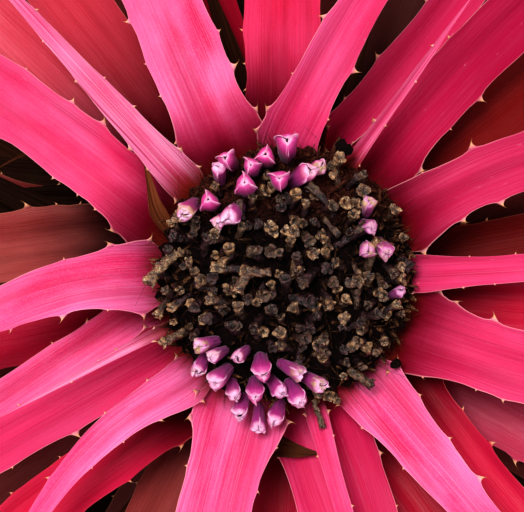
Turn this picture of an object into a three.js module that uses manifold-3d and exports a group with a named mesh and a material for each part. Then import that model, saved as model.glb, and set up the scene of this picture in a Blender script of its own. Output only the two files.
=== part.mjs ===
// A bromelia plant: a stemless-looking rosette of spiny, channelled leaves round a low, nest-like flower head.
// Sizes are in millimetres and +Z is up. The origin is the centre of the flat cut under the stem, at ground level.
// Angles are in degrees, seen from above, counter-clockwise from +X.
import * as THREE from "three";
import { mergeVertices } from "three/addons/utils/BufferGeometryUtils.js";
import Module from "manifold-3d";

const wasm = await Module();
wasm.setup();

const DEG = Math.PI / 180;
const GOLDEN_ANGLE = 137.508;
const CLEARANCE = 0.3;

// The short stem, with its root flare at the ground.
const STEM_TOP_Z = 72;
const STEM_TOP_R = 31;
const STEM_FOOT_Z = 14;
const STEM_FOOT_R = 38;
const ROOT_FLARE_R = 45;
const STEM_SIDES = 32;

// The flower head: a shallow dome on a short cone that fits inside the innermost leaves.
const HEAD_NECK_R = 28;
const HEAD_RIM_Z = 95;
const HEAD_R = 45.5;
const HEAD_RISE = 11;
const HEAD_SIDES = 30;

// Spent flowers all over the dome, and fresh ones in three patches.
const SPENT_COUNT = 64;
const SPENT_LENGTH = 10;
const SPENT_R = 2.5;
const SPENT_SIDES = 5;
const SPENT_FROM_FRESH = 9;
const FRESH_LENGTH = 17;
const FRESH_R = 3.1;
const FRESH_SIDES = 5;
const FRESH_PAD_R = 6.6;
const FRESH_PAD_THICK = 2.6;
const FRESH_SHOWN_AT = 0.65;

// The leaves leave the stem in levels: 0 is the innermost and highest, and each whole level is one leaf lower.
const LEVEL_TOP_Z = 69;
const LEVEL_STEP = 7.4;
const FOOT_RISE = 58;
const FOOT_RISE_STEP = 5;
const SPREAD_RISE = 33;
const SPREAD_RISE_STEP = 3.5;
const DROOP = 34;
const DROOP_STEP = 1.8;
const BEND_RUN = 20;
const BLADE_START_R = 50;
const FULL_REACH_R = 350;

// Shape of one leaf.
const WIDEN_RUN = 19;
const INNER_V = 0.42;
const CHANNEL_POWER = 1.7;
const THICK_SHARE = 0.0105;
const THICK_LEAST = 2.6;
const FOOT_THICK = 3.4;
const TOOTH_HEIGHT = 3.6;
const TOOTH_RUN = 4;
const TURN_RUN = 26;
const PATH_STEP = 1;

// Innermost leaves, read from the picture: azimuth of the foot, turn away from the radius, half width, length in plan,
// power of the taper (higher keeps its width for longer), level, and how deep the channel is for its width.
const INNER_LEAVES = [
  { at: 3, turn: 0, half: 5.6, length: 150, taper: 1.3, level: 0, fold: 0.35 },
  { at: 25.5, turn: 0, half: 10.6, length: 225, taper: 1.6, level: 0.3, fold: 0.2 },
  { at: 49, turn: 0, half: 11.5, length: 262, taper: 1.7, level: 0.95, fold: 0.3 },
  { at: 60.5, turn: -5, half: 3.2, length: 84, taper: 1.3, level: 0, fold: 0.9 },
  { at: 92, turn: -30, half: 9.2, length: 220, taper: 1.6, level: 0.05, fold: 0.2 },
  { at: 112.5, turn: 1, half: 14.2, length: 245, taper: 1.6, level: 0.65, fold: 0.16 },
  { at: 134.5, turn: -1, half: 5.8, length: 170, taper: 1.2, level: 0, fold: 0.8 },
  { at: 152, turn: -11, half: 12.4, length: 255, taper: 1.8, level: 0.95, fold: 0.22 },
  { at: 177, turn: 14, half: 12.4, length: 178, taper: 1.2, level: 0.35, fold: 0.18 },
  { at: 202.5, turn: 7, half: 2.6, length: 77, taper: 1.2, level: 0, fold: 0.9 },
  { at: 229, turn: -14, half: 7, length: 122, taper: 1.2, level: 0.1, fold: 0.3 },
  { at: 252.5, turn: 0, half: 14.2, length: 225, taper: 1.4, level: 0.35, fold: 0.16 },
  { at: 285, turn: 0, half: 3.6, length: 125, taper: 1.4, level: 0, fold: 0.5 },
  { at: 310, turn: 0, half: 10.8, length: 190, taper: 1.2, level: 0.2, fold: 0.2 },
  { at: 339, turn: 1, half: 13.8, length: 240, taper: 1.6, level: 0.5, fold: 0.18 },
];

// The leaves seen in the gaps between those.
const MIDDLE_LEAVES = [
  { at: 9, turn: 0, half: 9.5, length: 245, taper: 1.9, level: 2.3, fold: 0.25 },
  { at: 15, turn: 4, half: 13, length: 285, taper: 2, level: 3.4, fold: 0.2 },
  { at: 36, turn: -4, half: 13, length: 275, taper: 2, level: 1.9, fold: 0.22 },
  { at: 71, turn: -24, half: 8.5, length: 240, taper: 1.8, level: 2, fold: 0.45 },
  { at: 89.5, turn: 0, half: 14, length: 265, taper: 2, level: 1.3, fold: 0.2 },
  { at: 107, turn: -5, half: 13, length: 285, taper: 2, level: 3.1, fold: 0.2 },
  { at: 126, turn: -1, half: 12.5, length: 265, taper: 2, level: 1.6, fold: 0.24 },
  { at: 139, turn: 0, half: 12.5, length: 280, taper: 2, level: 2.8, fold: 0.22 },
  { at: 158, turn: 26, half: 13, length: 270, taper: 2, level: 2.3, fold: 0.22 },
  { at: 190, turn: 3, half: 12.5, length: 270, taper: 2, level: 2.8, fold: 0.22 },
  { at: 192, turn: 20, half: 9, length: 235, taper: 1.8, level: 1.9, fold: 0.3 },
  { at: 211.5, turn: -2, half: 9, length: 240, taper: 1.8, level: 1.2, fold: 0.3 },
  { at: 236, turn: -22, half: 10.5, length: 245, taper: 1.8, level: 1.7, fold: 0.3 },
  { at: 244, turn: -3, half: 13, length: 285, taper: 2, level: 3.1, fold: 0.2 },
  { at: 267, turn: 0, half: 12.5, length: 280, taper: 2, level: 3.6, fold: 0.22 },
  { at: 274, turn: 13, half: 9, length: 230, taper: 1.8, level: 1.9, fold: 0.25 },
  { at: 294, turn: 0, half: 8, length: 235, taper: 1.8, level: 1.2, fold: 0.25 },
  { at: 301, turn: 2, half: 12, length: 275, taper: 2, level: 2.9, fold: 0.22 },
  { at: 327, turn: -24, half: 9.5, length: 245, taper: 1.8, level: 1.7, fold: 0.3 },
  { at: 328, turn: 2, half: 13, length: 285, taper: 2, level: 3.2, fold: 0.2 },
  { at: 353, turn: 1, half: 9.5, length: 250, taper: 1.8, level: 1.4, fold: 0.25 },
];

// The old outer leaves, which follow each other at the golden angle.
const OUTER_COUNT = 19;
const OUTER_FIRST_AT = 64;
const OUTER_TOP_LEVEL = 4.2;
const OUTER_LEVEL_STEP = 0.2;
const OUTER_HALF = 15;
const OUTER_HALF_SPREAD = 1;
const OUTER_LENGTH = 292;
const OUTER_LENGTH_SPREAD = 16;
const OUTER_TAPER = 2.1;
const OUTER_TURN_SPREAD = 5;
const OUTER_FOLD = 0.2;

// Width of a leaf at its foot, as a share of its full width.
const FOOT_WIDTH_SHARE = 0.5;
const OUTER_FOOT_WIDTH_SHARE = 0.9;

// Distance between the teeth along a blade.
const TOOTH_SPACING = 44;

// Fresh flowers, by the middle of each corolla, from the head's axis, and the lean of each patch from upright.
const FRESH_PATCHES = {
  flowers_upper: {
    lean: 18,
    corollas: [
      [-33, 26.3], [-25.9, 29.1], [-21.9, 22], [-16.9, 25.6], [-23.7, 37.7], [-20, 43.8], [-11.6, 41.7],
      [-13.3, 35.2], [-5.8, 45.2], [1.9, 48.1], [-0.8, 37.7], [7, 38.4], [12.7, 41],
    ],
  },
  flowers_right: {
    lean: 28,
    corollas: [[31.3, 27.7], [30.9, 19.8], [35.9, 14.1], [30.6, 10.9]],
  },
  flowers_lower: {
    lean: 46,
    corollas: [
      [-23.7, -20.9], [-23, -25.9], [-15.1, -25.5], [-28, -29.4], [-20.9, -33], [-6.9, -30.1], [3.4, -30.5],
      [11.3, -34.4], [-17.3, -38.7], [-9.8, -36.9], [-1.9, -36.2], [5.2, -39.8], [-14.4, -45.2],
      [-8.4, -48.4], [-1.6, -45.9],
    ],
  },
};

const MATERIALS = {
  stem: new THREE.MeshStandardMaterial({ color: 0x6b4a33, roughness: 0.9, metalness: 0 }),
  head: new THREE.MeshStandardMaterial({ color: 0x3a2a1e, roughness: 0.95, metalness: 0 }),
  fresh: new THREE.MeshStandardMaterial({ color: 0xc452b4, roughness: 0.5, metalness: 0 }),
  inner: new THREE.MeshStandardMaterial({ color: 0xe8306a, roughness: 0.4, metalness: 0 }),
  middle: new THREE.MeshStandardMaterial({ color: 0xc02848, roughness: 0.45, metalness: 0 }),
  outer: new THREE.MeshStandardMaterial({ color: 0x8c3a34, roughness: 0.55, metalness: 0 }),
};

function smooth(x) {
  const t = THREE.MathUtils.clamp(x, 0, 1);
  return t * t * (3 - 2 * t);
}

function stemRadius(z) {
  if (z >= STEM_FOOT_Z) {
    return THREE.MathUtils.mapLinear(z, STEM_FOOT_Z, STEM_TOP_Z, STEM_FOOT_R, STEM_TOP_R);
  }
  const down = (STEM_FOOT_Z - z) / STEM_FOOT_Z;
  return STEM_FOOT_R + (ROOT_FLARE_R - STEM_FOOT_R) * down * down;
}

function domeHeight(r) {
  const share = Math.min(1, r / HEAD_R);
  return HEAD_RIM_Z + HEAD_RISE * (1 - share ** 2.4);
}

function turned(profile, sides) {
  const points = profile.map(([r, z]) => new THREE.Vector2(r, z));
  return new THREE.LatheGeometry(points, sides).rotateX(Math.PI / 2);
}

function stemGeometry() {
  const flare = [0, 0.35, 0.7, 1].map((t) => [stemRadius(STEM_FOOT_Z * t), STEM_FOOT_Z * t]);
  return turned([[0, 0], ...flare, [STEM_TOP_R, STEM_TOP_Z], [0, STEM_TOP_Z]], STEM_SIDES);
}

// The dome's profile, grown by a margin, from its underside over the rim to the middle.
function domeProfile(margin) {
  const low = STEM_TOP_Z + CLEARANCE - margin;
  const top = [0.95, 0.82, 0.62, 0.36].map((share) => [HEAD_R * share + margin, domeHeight(HEAD_R * share) + margin]);
  return [
    [0, low],
    [HEAD_NECK_R + margin, low],
    [HEAD_R - 6 + margin, HEAD_RIM_Z - 9],
    [HEAD_R + margin, HEAD_RIM_Z],
    ...top,
    [0, HEAD_RIM_Z + HEAD_RISE + margin],
  ];
}

// A closed geometry as a solid that can be joined and cut.
function toSolid(geometry) {
  const bare = geometry.clone();
  bare.deleteAttribute("normal");
  bare.deleteAttribute("uv");
  const merged = mergeVertices(bare, 1e-4);
  const mesh = new wasm.Mesh({
    numProp: 3,
    vertProperties: new Float32Array(merged.attributes.position.array),
    triVerts: new Uint32Array(merged.index.array),
  });
  return new wasm.Manifold(mesh);
}

function toGeometry(solid) {
  const mesh = solid.getMesh();
  const geometry = new THREE.BufferGeometry();
  geometry.setAttribute("position", new THREE.BufferAttribute(mesh.vertProperties, 3));
  geometry.setIndex(new THREE.BufferAttribute(mesh.triVerts, 1));
  geometry.computeVertexNormals();
  return geometry;
}

// The largest body of a solid, with any sealed hollow filled and any loose scrap dropped.
function onePiece(solid) {
  const bodies = solid.decompose();
  return bodies.reduce((best, body) => (body.volume() > best.volume() ? body : best));
}

// A round body along an axis from a foot point, through [distance, radius] rings.
function budSolid(foot, axis, rings, sides) {
  const points = rings.map(([along, r]) => new THREE.Vector2(r, along));
  const closed = [new THREE.Vector2(0, rings[0][0]), ...points, new THREE.Vector2(0, rings.at(-1)[0])];
  const turn = new THREE.Quaternion().setFromUnitVectors(new THREE.Vector3(0, 1, 0), axis);
  const geometry = new THREE.LatheGeometry(closed, sides).applyQuaternion(turn);
  geometry.translate(foot.x, foot.y, foot.z);
  return toSolid(geometry);
}

function axisFor(x, y, lean) {
  const out = new THREE.Vector2(x, y).normalize();
  return new THREE.Vector3(out.x * Math.sin(lean * DEG), out.y * Math.sin(lean * DEG), Math.cos(lean * DEG));
}

// A fresh flower's lean, foot and axis, from the middle of its corolla.
function freshFlower([x, y], patchLean) {
  const out = Math.hypot(x, y);
  const lean = patchLean * Math.min(1.15, out / (HEAD_R * 0.85));
  const back = FRESH_LENGTH * FRESH_SHOWN_AT * Math.sin(lean * DEG);
  const [fx, fy] = [x * (1 - back / out), y * (1 - back / out)];
  const foot = new THREE.Vector3(fx, fy, domeHeight(Math.hypot(fx, fy)) - 0.5);
  return { foot, axis: axisFor(x, y, lean) };
}

const ALL_FRESH = Object.values(FRESH_PATCHES).flatMap((patch) =>
  patch.corollas.flatMap((corolla) => [corolla, freshFlower(corolla, patch.lean).foot.toArray()]),
);

function nearFresh(x, y) {
  return ALL_FRESH.some(([fx, fy]) => Math.hypot(fx - x, fy - y) < SPENT_FROM_FRESH);
}

// Spent flowers on a sunflower spiral, leaning outwards more towards the rim.
function headGeometry() {
  const solids = [toSolid(turned(domeProfile(0), HEAD_SIDES))];
  for (let k = 0; k < SPENT_COUNT; k += 1) {
    const r = (HEAD_R - 3) * Math.sqrt((k + 0.5) / SPENT_COUNT);
    const angle = k * GOLDEN_ANGLE * DEG;
    const [x, y] = [r * Math.cos(angle), r * Math.sin(angle)];
    if (nearFresh(x, y)) {
      continue;
    }
    const lean = 8 + (34 * r) / HEAD_R + 9 * Math.sin(k * 2.3);
    const length = SPENT_LENGTH * (1 + 0.22 * Math.sin(k * 1.7));
    const foot = new THREE.Vector3(x, y, domeHeight(r) - 2.5);
    const rings = [[0, SPENT_R * 0.8], [length * 0.8, SPENT_R], [length + 2, SPENT_R * 0.6]];
    solids.push(budSolid(foot, axisFor(x, y, lean), rings, SPENT_SIDES));
  }
  return toGeometry(onePiece(wasm.Manifold.union(solids)));
}

// One patch of fresh flowers on a thin pad that follows the dome, cut clear of the dome.
function freshGeometry(patch) {
  const solids = patch.corollas.flatMap((corolla) => {
    const { foot, axis } = freshFlower(corolla, patch.lean);
    const pad = [[-0.4, FRESH_PAD_R], [FRESH_PAD_THICK, FRESH_PAD_R * 0.8]];
    const bud = [
      [0.5, FRESH_R * 0.8],
      [FRESH_LENGTH * 0.7, FRESH_R * 1.08],
      [FRESH_LENGTH, FRESH_R * 0.55],
    ];
    return [budSolid(foot, axis, pad, FRESH_SIDES), budSolid(foot, axis, bud, FRESH_SIDES)];
  });
  const dome = toSolid(turned(domeProfile(CLEARANCE + 0.1), HEAD_SIDES));
  return toGeometry(onePiece(wasm.Manifold.union(solids).subtract(dome)));
}

// Slope of a level's surface at a distance from the axis.
function levelSlope(level, r, footR) {
  const foot = FOOT_RISE - FOOT_RISE_STEP * level;
  const spread = SPREAD_RISE - SPREAD_RISE_STEP * level;
  const bend = Math.exp(-(((r - footR) / BEND_RUN) ** 2));
  const far = Math.max(0, (r - BLADE_START_R) / (FULL_REACH_R - BLADE_START_R));
  return (spread + (foot - spread) * bend - (DROOP - DROOP_STEP * level) * far * far) * DEG;
}

// The height of a level at each millimetre from the stem outwards, so that no level crosses another.
function levelSurface(level) {
  const footZ = LEVEL_TOP_Z - LEVEL_STEP * level;
  const footR = stemRadius(footZ) + CLEARANCE;
  const heights = [footZ];
  for (let r = footR; r < FULL_REACH_R + 80; r += 1) {
    heights.push(heights.at(-1) + Math.tan(levelSlope(level, r + 0.5, footR)));
  }
  const height = (r) => {
    const along = Math.max(0, r - footR);
    const i = Math.floor(along);
    return THREE.MathUtils.lerp(heights[i], heights[i + 1], along - i);
  };
  return { footR, height, slope: (r) => levelSlope(level, r, footR) };
}

// The leaf's middle line seen from above: radial at the foot, then turned.
function planPath(leaf, footR) {
  const path = [];
  let [x, y] = [footR * Math.cos(leaf.at * DEG), footR * Math.sin(leaf.at * DEG)];
  for (let s = 0; s <= leaf.length + PATH_STEP; s += PATH_STEP) {
    const heading = (leaf.at + leaf.turn * smooth(s / TURN_RUN)) * DEG;
    path.push({ x, y, heading });
    x += PATH_STEP * Math.cos(heading);
    y += PATH_STEP * Math.sin(heading);
  }
  return (s) => path[Math.min(path.length - 1, Math.round(s / PATH_STEP))];
}

function halfWidth(leaf, s) {
  const widened = THREE.MathUtils.lerp(leaf.footShare, 1, smooth(s / WIDEN_RUN));
  const along = Math.max(0, (s - WIDEN_RUN) / (leaf.length - WIDEN_RUN));
  return leaf.half * widened * (1 - along ** leaf.taper);
}

// Stations along a leaf: the foot, the bend, then two for each pair of teeth.
function stationsOf(leaf) {
  const stations = [0, 7, 14].map((s) => ({ s, tooth: 0 }));
  const blade = leaf.length - WIDEN_RUN - 12;
  const count = Math.max(2, Math.round(blade / TOOTH_SPACING));
  const reach = Math.min(1, leaf.half / 8);
  for (let k = 0; k < count; k += 1) {
    const s = WIDEN_RUN + (blade * (k + 0.15)) / count;
    const size = TOOTH_HEIGHT * reach * (1 - (0.55 * k) / count);
    stations.push({ s: Math.round(s), tooth: 0 }, { s: Math.round(s + TOOTH_RUN), tooth: size });
  }
  stations.push({ s: Math.round(leaf.length * 0.975), tooth: 0 });
  return stations;
}

// A closed blade: rings of six points, edges drawn to a line, with a flat foot and a pointed tip.
function leafGeometry(leaf) {
  const surface = levelSurface(leaf.level);
  const at = planPath(leaf, surface.footR);
  const fullThick = Math.max(THICK_LEAST, leaf.length * THICK_SHARE);
  const positions = [];

  const addPoint = (s, across, v, drop, upright) => {
    const { x, y, heading } = at(s);
    const px = x - across * Math.sin(heading);
    const py = y + across * Math.cos(heading);
    const r = Math.hypot(px, py);
    const lift = leaf.fold * halfWidth(leaf, s) * Math.min(1, Math.abs(v)) ** CHANNEL_POWER;
    const top = surface.height(r) + lift;
    const slope = surface.slope(r);
    const out = upright ? stemRadius(top - drop) - stemRadius(top) : drop * Math.sin(slope);
    const z = upright ? top - drop : top - drop * Math.cos(slope);
    positions.push(px * (1 + out / r), py * (1 + out / r), z);
  };

  const stations = stationsOf(leaf);
  stations.forEach(({ s, tooth }) => {
    const half = halfWidth(leaf, s);
    const foot = s === 0;
    const thick = foot ? FOOT_THICK * 1.3 : fullThick * (1 - (0.55 * s) / leaf.length);
    const sections = [[1, 0], [INNER_V, 0], [-INNER_V, 0], [-1, 0], [-INNER_V, thick], [INNER_V, thick]];
    sections.forEach(([v, drop]) => {
      const edge = Math.abs(v) === 1 ? Math.sign(v) * tooth : 0;
      addPoint(s, v * half + edge, v, drop, foot);
    });
  });
  addPoint(leaf.length, 0, 0, 0, false);

  const ring = 6;
  const last = stations.length - 1;
  const tip = stations.length * ring;
  const index = [1, 0, 5, 2, 1, 5, 2, 5, 4, 3, 2, 4];
  for (let i = 0; i < last; i += 1) {
    for (let k = 0; k < ring; k += 1) {
      const [a, b] = [i * ring + k, i * ring + ((k + 1) % ring)];
      const [c, d] = [b + ring, a + ring];
      index.push(a, b, c, a, c, d);
    }
  }
  for (let k = 0; k < ring; k += 1) {
    index.push(last * ring + k, last * ring + ((k + 1) % ring), tip);
  }
  const geometry = new THREE.BufferGeometry();
  geometry.setAttribute("position", new THREE.Float32BufferAttribute(positions, 3));
  geometry.setIndex(index);
  geometry.computeVertexNormals();
  return geometry;
}

function outerLeaves() {
  return Array.from({ length: OUTER_COUNT }, (_, k) => ({
    at: OUTER_FIRST_AT + k * GOLDEN_ANGLE,
    turn: OUTER_TURN_SPREAD * Math.sin(k * 2.1),
    half: OUTER_HALF + OUTER_HALF_SPREAD * Math.sin(k * 1.3),
    length: OUTER_LENGTH + OUTER_LENGTH_SPREAD * Math.sin(k * 1.9),
    taper: OUTER_TAPER,
    level: OUTER_TOP_LEVEL + OUTER_LEVEL_STEP * k,
    fold: OUTER_FOLD,
    footShare: OUTER_FOOT_WIDTH_SHARE,
  }));
}

const plant = new THREE.Group();

function addNode(name, geometry, material) {
  const mesh = new THREE.Mesh(geometry, material);
  mesh.name = name;
  plant.add(mesh);
}

function addLeaves(prefix, leaves, material) {
  leaves.forEach((leaf, k) => {
    const geometry = leafGeometry({ footShare: FOOT_WIDTH_SHARE, ...leaf });
    addNode(`${prefix}_${String(k + 1).padStart(2, "0")}`, geometry, material);
  });
}

addNode("stem", stemGeometry(), MATERIALS.stem);
addNode("flower_head", headGeometry(), MATERIALS.head);
Object.entries(FRESH_PATCHES).forEach(([name, patch]) => addNode(name, freshGeometry(patch), MATERIALS.fresh));
addLeaves("leaf_inner", INNER_LEAVES, MATERIALS.inner);
addLeaves("leaf_middle", MIDDLE_LEAVES, MATERIALS.middle);
addLeaves("leaf_outer", outerLeaves(), MATERIALS.outer);

export default plant;
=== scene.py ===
"""A bromelia plant in flower: spiny, channelled leaves round a nest-like head of withered and fresh flowers.

Sizes are in millimetres and angles in degrees, seen from above and counter-clockwise from +X, until a skin is
put into its mesh in metres. Every surface is a closed tube: a section that goes once round, carried along a
path."""

import bpy
import numpy as np
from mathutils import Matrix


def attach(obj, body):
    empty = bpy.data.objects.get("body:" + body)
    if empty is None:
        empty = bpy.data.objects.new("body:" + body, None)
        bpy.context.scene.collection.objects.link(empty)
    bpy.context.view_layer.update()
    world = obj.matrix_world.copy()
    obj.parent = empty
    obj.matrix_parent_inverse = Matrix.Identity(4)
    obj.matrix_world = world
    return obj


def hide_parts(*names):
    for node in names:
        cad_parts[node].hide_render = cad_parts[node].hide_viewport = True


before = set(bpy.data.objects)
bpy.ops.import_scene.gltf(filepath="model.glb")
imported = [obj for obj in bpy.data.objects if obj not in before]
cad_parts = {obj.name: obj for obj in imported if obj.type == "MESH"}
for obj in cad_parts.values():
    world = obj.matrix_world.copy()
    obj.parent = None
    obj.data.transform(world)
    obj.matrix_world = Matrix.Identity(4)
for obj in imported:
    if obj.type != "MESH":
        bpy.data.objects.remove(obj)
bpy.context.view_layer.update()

MM = 0.001
GOLDEN_ANGLE = 137.508

# The photograph, and the scale at the head's rim.
PHOTO_W, PHOTO_H = 524, 512
MM_PER_PIXEL = 0.35
HEAD_PIXEL = (281, 281)
CAMERA_HEIGHT = 600.0
SENSOR = 36.0

# The short stem, with its root flare at the ground.
STEM_TOP_Z, STEM_TOP_R = 72.0, 31.0
STEM_FOOT_Z, STEM_FOOT_R = 14.0, 38.0
ROOT_FLARE_R = 45.0

# The flower head's dome.
HEAD_NECK_R, HEAD_NECK_Z = 28.0, 72.3
HEAD_RIM_Z, HEAD_R, HEAD_RISE = 95.0, 45.5, 11.0
# The nest leans a little: its rim stands this far off the axis, to the right and up in the photograph.
NEST_SHIFT = np.array([1.5, 2.2])

# Fresh flowers stand along their own axes from the dome. Their places are those of a point near the mouth.
FRESH_LENGTH, FRESH_R, FRESH_SHOWN_AT = 15.0, 3.3, 0.95

# The leaves leave the stem in levels: 0 is the innermost and highest, and each whole level is one leaf lower.
LEVEL_TOP_Z, LEVEL_STEP = 69.0, 7.4
FOOT_RISE, FOOT_RISE_STEP = 58.0, 5.0
SPREAD_RISE, SPREAD_RISE_STEP = 33.0, 3.5
DROOP, DROOP_STEP = 34.0, 1.8
BEND_RUN, BLADE_START_R, FULL_REACH_R = 20.0, 50.0, 350.0
WIDEN_RUN, TURN_RUN, SWEEP_RUN, CLEARANCE = 19.0, 26.0, 90.0, 0.3
FOOT_WIDTH_SHARE, OUTER_FOOT_WIDTH_SHARE = 0.5, 0.9
CHANNEL_POWER = 1.7

# One leaf a line: azimuth of the foot, turn from the radius, half width, length in plan, power of the taper,
# level, depth of the channel for its width, how deep its colour is (from 0, pink, to 1, crimson, and past 1,
# old), the sweep of its bow to one side, and the share by which it thins over the same stretch. A row that
# ends at its tone bows by a seeded choice, and one without the last word doesn't thin.
LEAF_WORDS = ("at", "turn", "half", "length", "taper", "level", "fold", "tone", "sweep", "thin")
INNER_LEAVES = (
    (3, 0, 5.8, 150, 1.3, 0, 0.35, 0.42, 3, 0.1),
    (25.5, 12, 10.8, 225, 1.6, 0.3, 0.30, 0.7, -27, 0.0),
    (49, 4, 11.5, 262, 1.7, 0.95, 0.34, 1.08, -8, 0.0),
    (59.5, -5, 2.4, 84, 1.3, 0, 0.9, 0.34, 0, 0.0),
    (90, -26, 9.6, 220, 1.6, 0.05, 0.30, 0.34, -8, 0.3),
    (112.5, 1, 14.2, 245, 1.6, 0.65, 0.22, 0.0, 0, 0.0),
    (134.5, -2, 6.2, 170, 1.2, 0, 0.85, 0.04, 0, 0.5),
    (152, -11, 12.4, 255, 1.8, 0.95, 0.28, 0.24, 3, 0.0),
    (178.4, -1.6, 10.8, 178, 1.2, 0.35, 0.24, 0.12, 38, 0.31),
    (202.5, 5, 1.8, 72, 1.2, 0, 0.9, 0.1, 1, 0.0),
    (229, -30, 7.2, 122, 1.2, 0.1, 0.3, 0.08, 40, 0.12),
    (252.5, 0, 14.0, 225, 1.4, 0.35, 0.22, 0.19, 8, 0.08),
    (285, 0, 3.6, 125, 1.4, 0, 0.5, 0.27, 2, 0.0),
    (310, 0, 10.8, 190, 1.2, 0.2, 0.28, 0.1, 1, 0.34),
    (339, 1, 13.8, 240, 1.6, 0.5, 0.24, 0.5, 7, 0.16),
)
MIDDLE_LEAVES = (
    (9, 0, 9.5, 245, 1.9, 2.3, 0.25, 0.95),
    (15, 4, 13, 285, 2, 3.4, 0.2, 0.9),
    (37, -3, 13.4, 275, 2, 1.9, 0.22, 0.6, 8),
    (71, -24, 8.5, 240, 1.8, 2, 0.45, 0.72),
    (89.5, 0, 14, 265, 2, 1.3, 0.2, 0.04),
    (107, -5, 13, 285, 2, 3.1, 0.2, 0.9),
    (126, -1, 12.5, 265, 2, 1.6, 0.24, 0.5),
    (139, 0, 12.5, 280, 2, 2.8, 0.22, 0.1),
    (158, 26, 13, 270, 2, 2.3, 0.22, 0.25),
    (190, 3, 12.5, 270, 2, 2.8, 0.22, 0.6),
    (192, 20, 9, 235, 1.8, 1.9, 0.3, 0.14),
    (211.5, -2, 9, 240, 1.8, 1.2, 0.3, 0.55),
    (236, -22, 10.5, 245, 1.8, 1.7, 0.3, 0.42),
    (244, -3, 13, 285, 2, 3.1, 0.2, 0.5),
    (267, 0, 12.5, 280, 2, 3.6, 0.22, 0.8),
    (274, 13, 9, 230, 1.8, 1.9, 0.25, 0.55),
    (294, -2, 8.4, 235, 1.8, 1.2, 0.25, 0.82, -9),
    (301, 2, 12, 275, 2, 2.9, 0.22, 0.85),
    (327, -24, 9.5, 245, 1.8, 1.7, 0.3, 0.5),
    (328, 2, 13, 285, 2, 3.2, 0.2, 0.55),
    (353, 1, 9.5, 250, 1.8, 1.4, 0.25, 0.6),
)
OUTER_COUNT, OUTER_FIRST_AT = 19, 64.0
OUTER_TOP_LEVEL, OUTER_LEVEL_STEP = 4.2, 0.2
OUTER_HALF, OUTER_HALF_SPREAD = 15.0, 1.0
OUTER_LENGTH, OUTER_LENGTH_SPREAD = 292.0, 16.0
OUTER_TAPER, OUTER_TURN_SPREAD, OUTER_FOLD = 2.1, 5.0, 0.2

# Fresh flowers, one a line: middle of the mouth as the photograph shows it from the head's axis, the way it
# leans, how far from upright, its size, how closed it is (from 0, a three-cornered mouth, to 1, a bud with a
# frayed tip), how withered that tip is, and the way that one corner of the mouth points.
FLOWER_WORDS = ("x", "y", "heading", "lean", "size", "closed", "wilt", "corner")
UPPER_FLOWERS = (
    (-34.3, 24.2, 228, 24, 0.90, 1.0, 0.8, 0),
    (-25.9, 28.7, 135, 8, 1.00, 0.0, 0.0, 100),
    (-22.4, 20.7, 230, 18, 0.75, 1.0, 0.5, 40),
    (-18.5, 22.8, 228, 24, 0.95, 0.9, 0.1, 80),
    (-22.1, 40.0, 95, 26, 0.75, 1.0, 0.0, 20),
    (-20.0, 43.9, 140, 14, 1.0, 0.0, 0.1, 45),
    (-10.9, 41.3, 120, 9, 0.95, 0.1, 0.0, 125),
    (-13.0, 35.0, 100, 10, 1.1, 0.1, 0.0, 95),
    (-5.8, 45.0, 110, 8, 1.05, 0.0, 0.0, 75),
    (2.0, 50.0, 92, 18, 1.15, 0.15, 0.0, 270),
    (-0.7, 36.4, 90, 5, 1.05, 0.0, 0.0, 270),
    (9.8, 38.9, 32, 30, 0.95, 0.8, 0.2, 10),
    (13.7, 40.6, 20, 24, 0.8, 1.0, 0.9, 60),
)
RIGHT_FLOWERS = (
    (30.9, 28.0, 80, 20, 0.75, 1.0, 1.0, 0),
    (31.5, 18.9, 320, 16, 0.75, 1.0, 0.2, 50),
    (36.9, 10.3, 300, 22, 0.85, 0.9, 0.5, 20),
    (30.2, 11.1, 270, 6, 0.85, 0.9, 0.8, 90),
    (42.3, -3.2, 30, 24, 0.62, 1.0, 0.0, 40),
)
LOWER_FLOWERS = (
    (-29.0, -22.8, 195, 34, 0.80, 1.0, 1.0, 0),
    (-24.5, -26.3, 200, 26, 0.78, 1.0, 0.3, 30),
    (-15.8, -26.6, 215, 26, 0.72, 1.0, 0.2, 70),
    (-29.8, -31.5, 240, 32, 0.75, 1.0, 0.3, 100),
    (-23.5, -35.4, 222, 24, 1.0, 0.85, 0.1, 20),
    (-6.7, -32.9, 276, 22, 1.05, 0.3, 0.0, 40),
    (-9.1, -40.6, 275, 22, 0.9, 0.3, 0.0, 270),
    (-16.5, -40.6, 285, 28, 0.80, 0.9, 0.1, 50),
    (0.0, -38.9, 315, 28, 0.85, 0.9, 0.0, 90),
    (6.3, -32.2, 335, 36, 0.85, 0.7, 0.6, 15),
    (6.3, -42.0, 300, 30, 0.92, 0.8, 0.1, 60),
    (13.7, -36.4, 335, 38, 0.82, 1.0, 0.8, 0),
    (-15.1, -47.6, 250, 32, 0.85, 0.9, 0.1, 30),
    (-8.1, -52.2, 268, 36, 0.82, 1.0, 0.0, 80),
    (-2.5, -49.7, 250, 32, 0.85, 0.9, 0.1, 10),
)
# Each patch's name, flowers, seed, and by how much it is duller.
FRESH_PATCHES = (
    ("flowers_upper", UPPER_FLOWERS, 41, 0.0), ("flowers_right", RIGHT_FLOWERS, 42, 0.9),
    ("flowers_lower", LOWER_FLOWERS, 43, 0.3))


def smooth(x):
    """The soft step t*t*(3 - 2t) of x held between 0 and 1."""
    t = np.clip(x, 0.0, 1.0)
    return t * t * (3.0 - 2.0 * t)


def bell(x):
    """The bell curve: e to the minus x squared."""
    return np.exp(-(x**2))


def unit(vectors):
    """Each vector divided by its length."""
    return vectors / np.maximum(np.linalg.norm(vectors, axis=-1, keepdims=True), 1e-12)


def sind(degrees):
    return np.sin(np.radians(degrees))


def cosd(degrees):
    return np.cos(np.radians(degrees))


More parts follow.
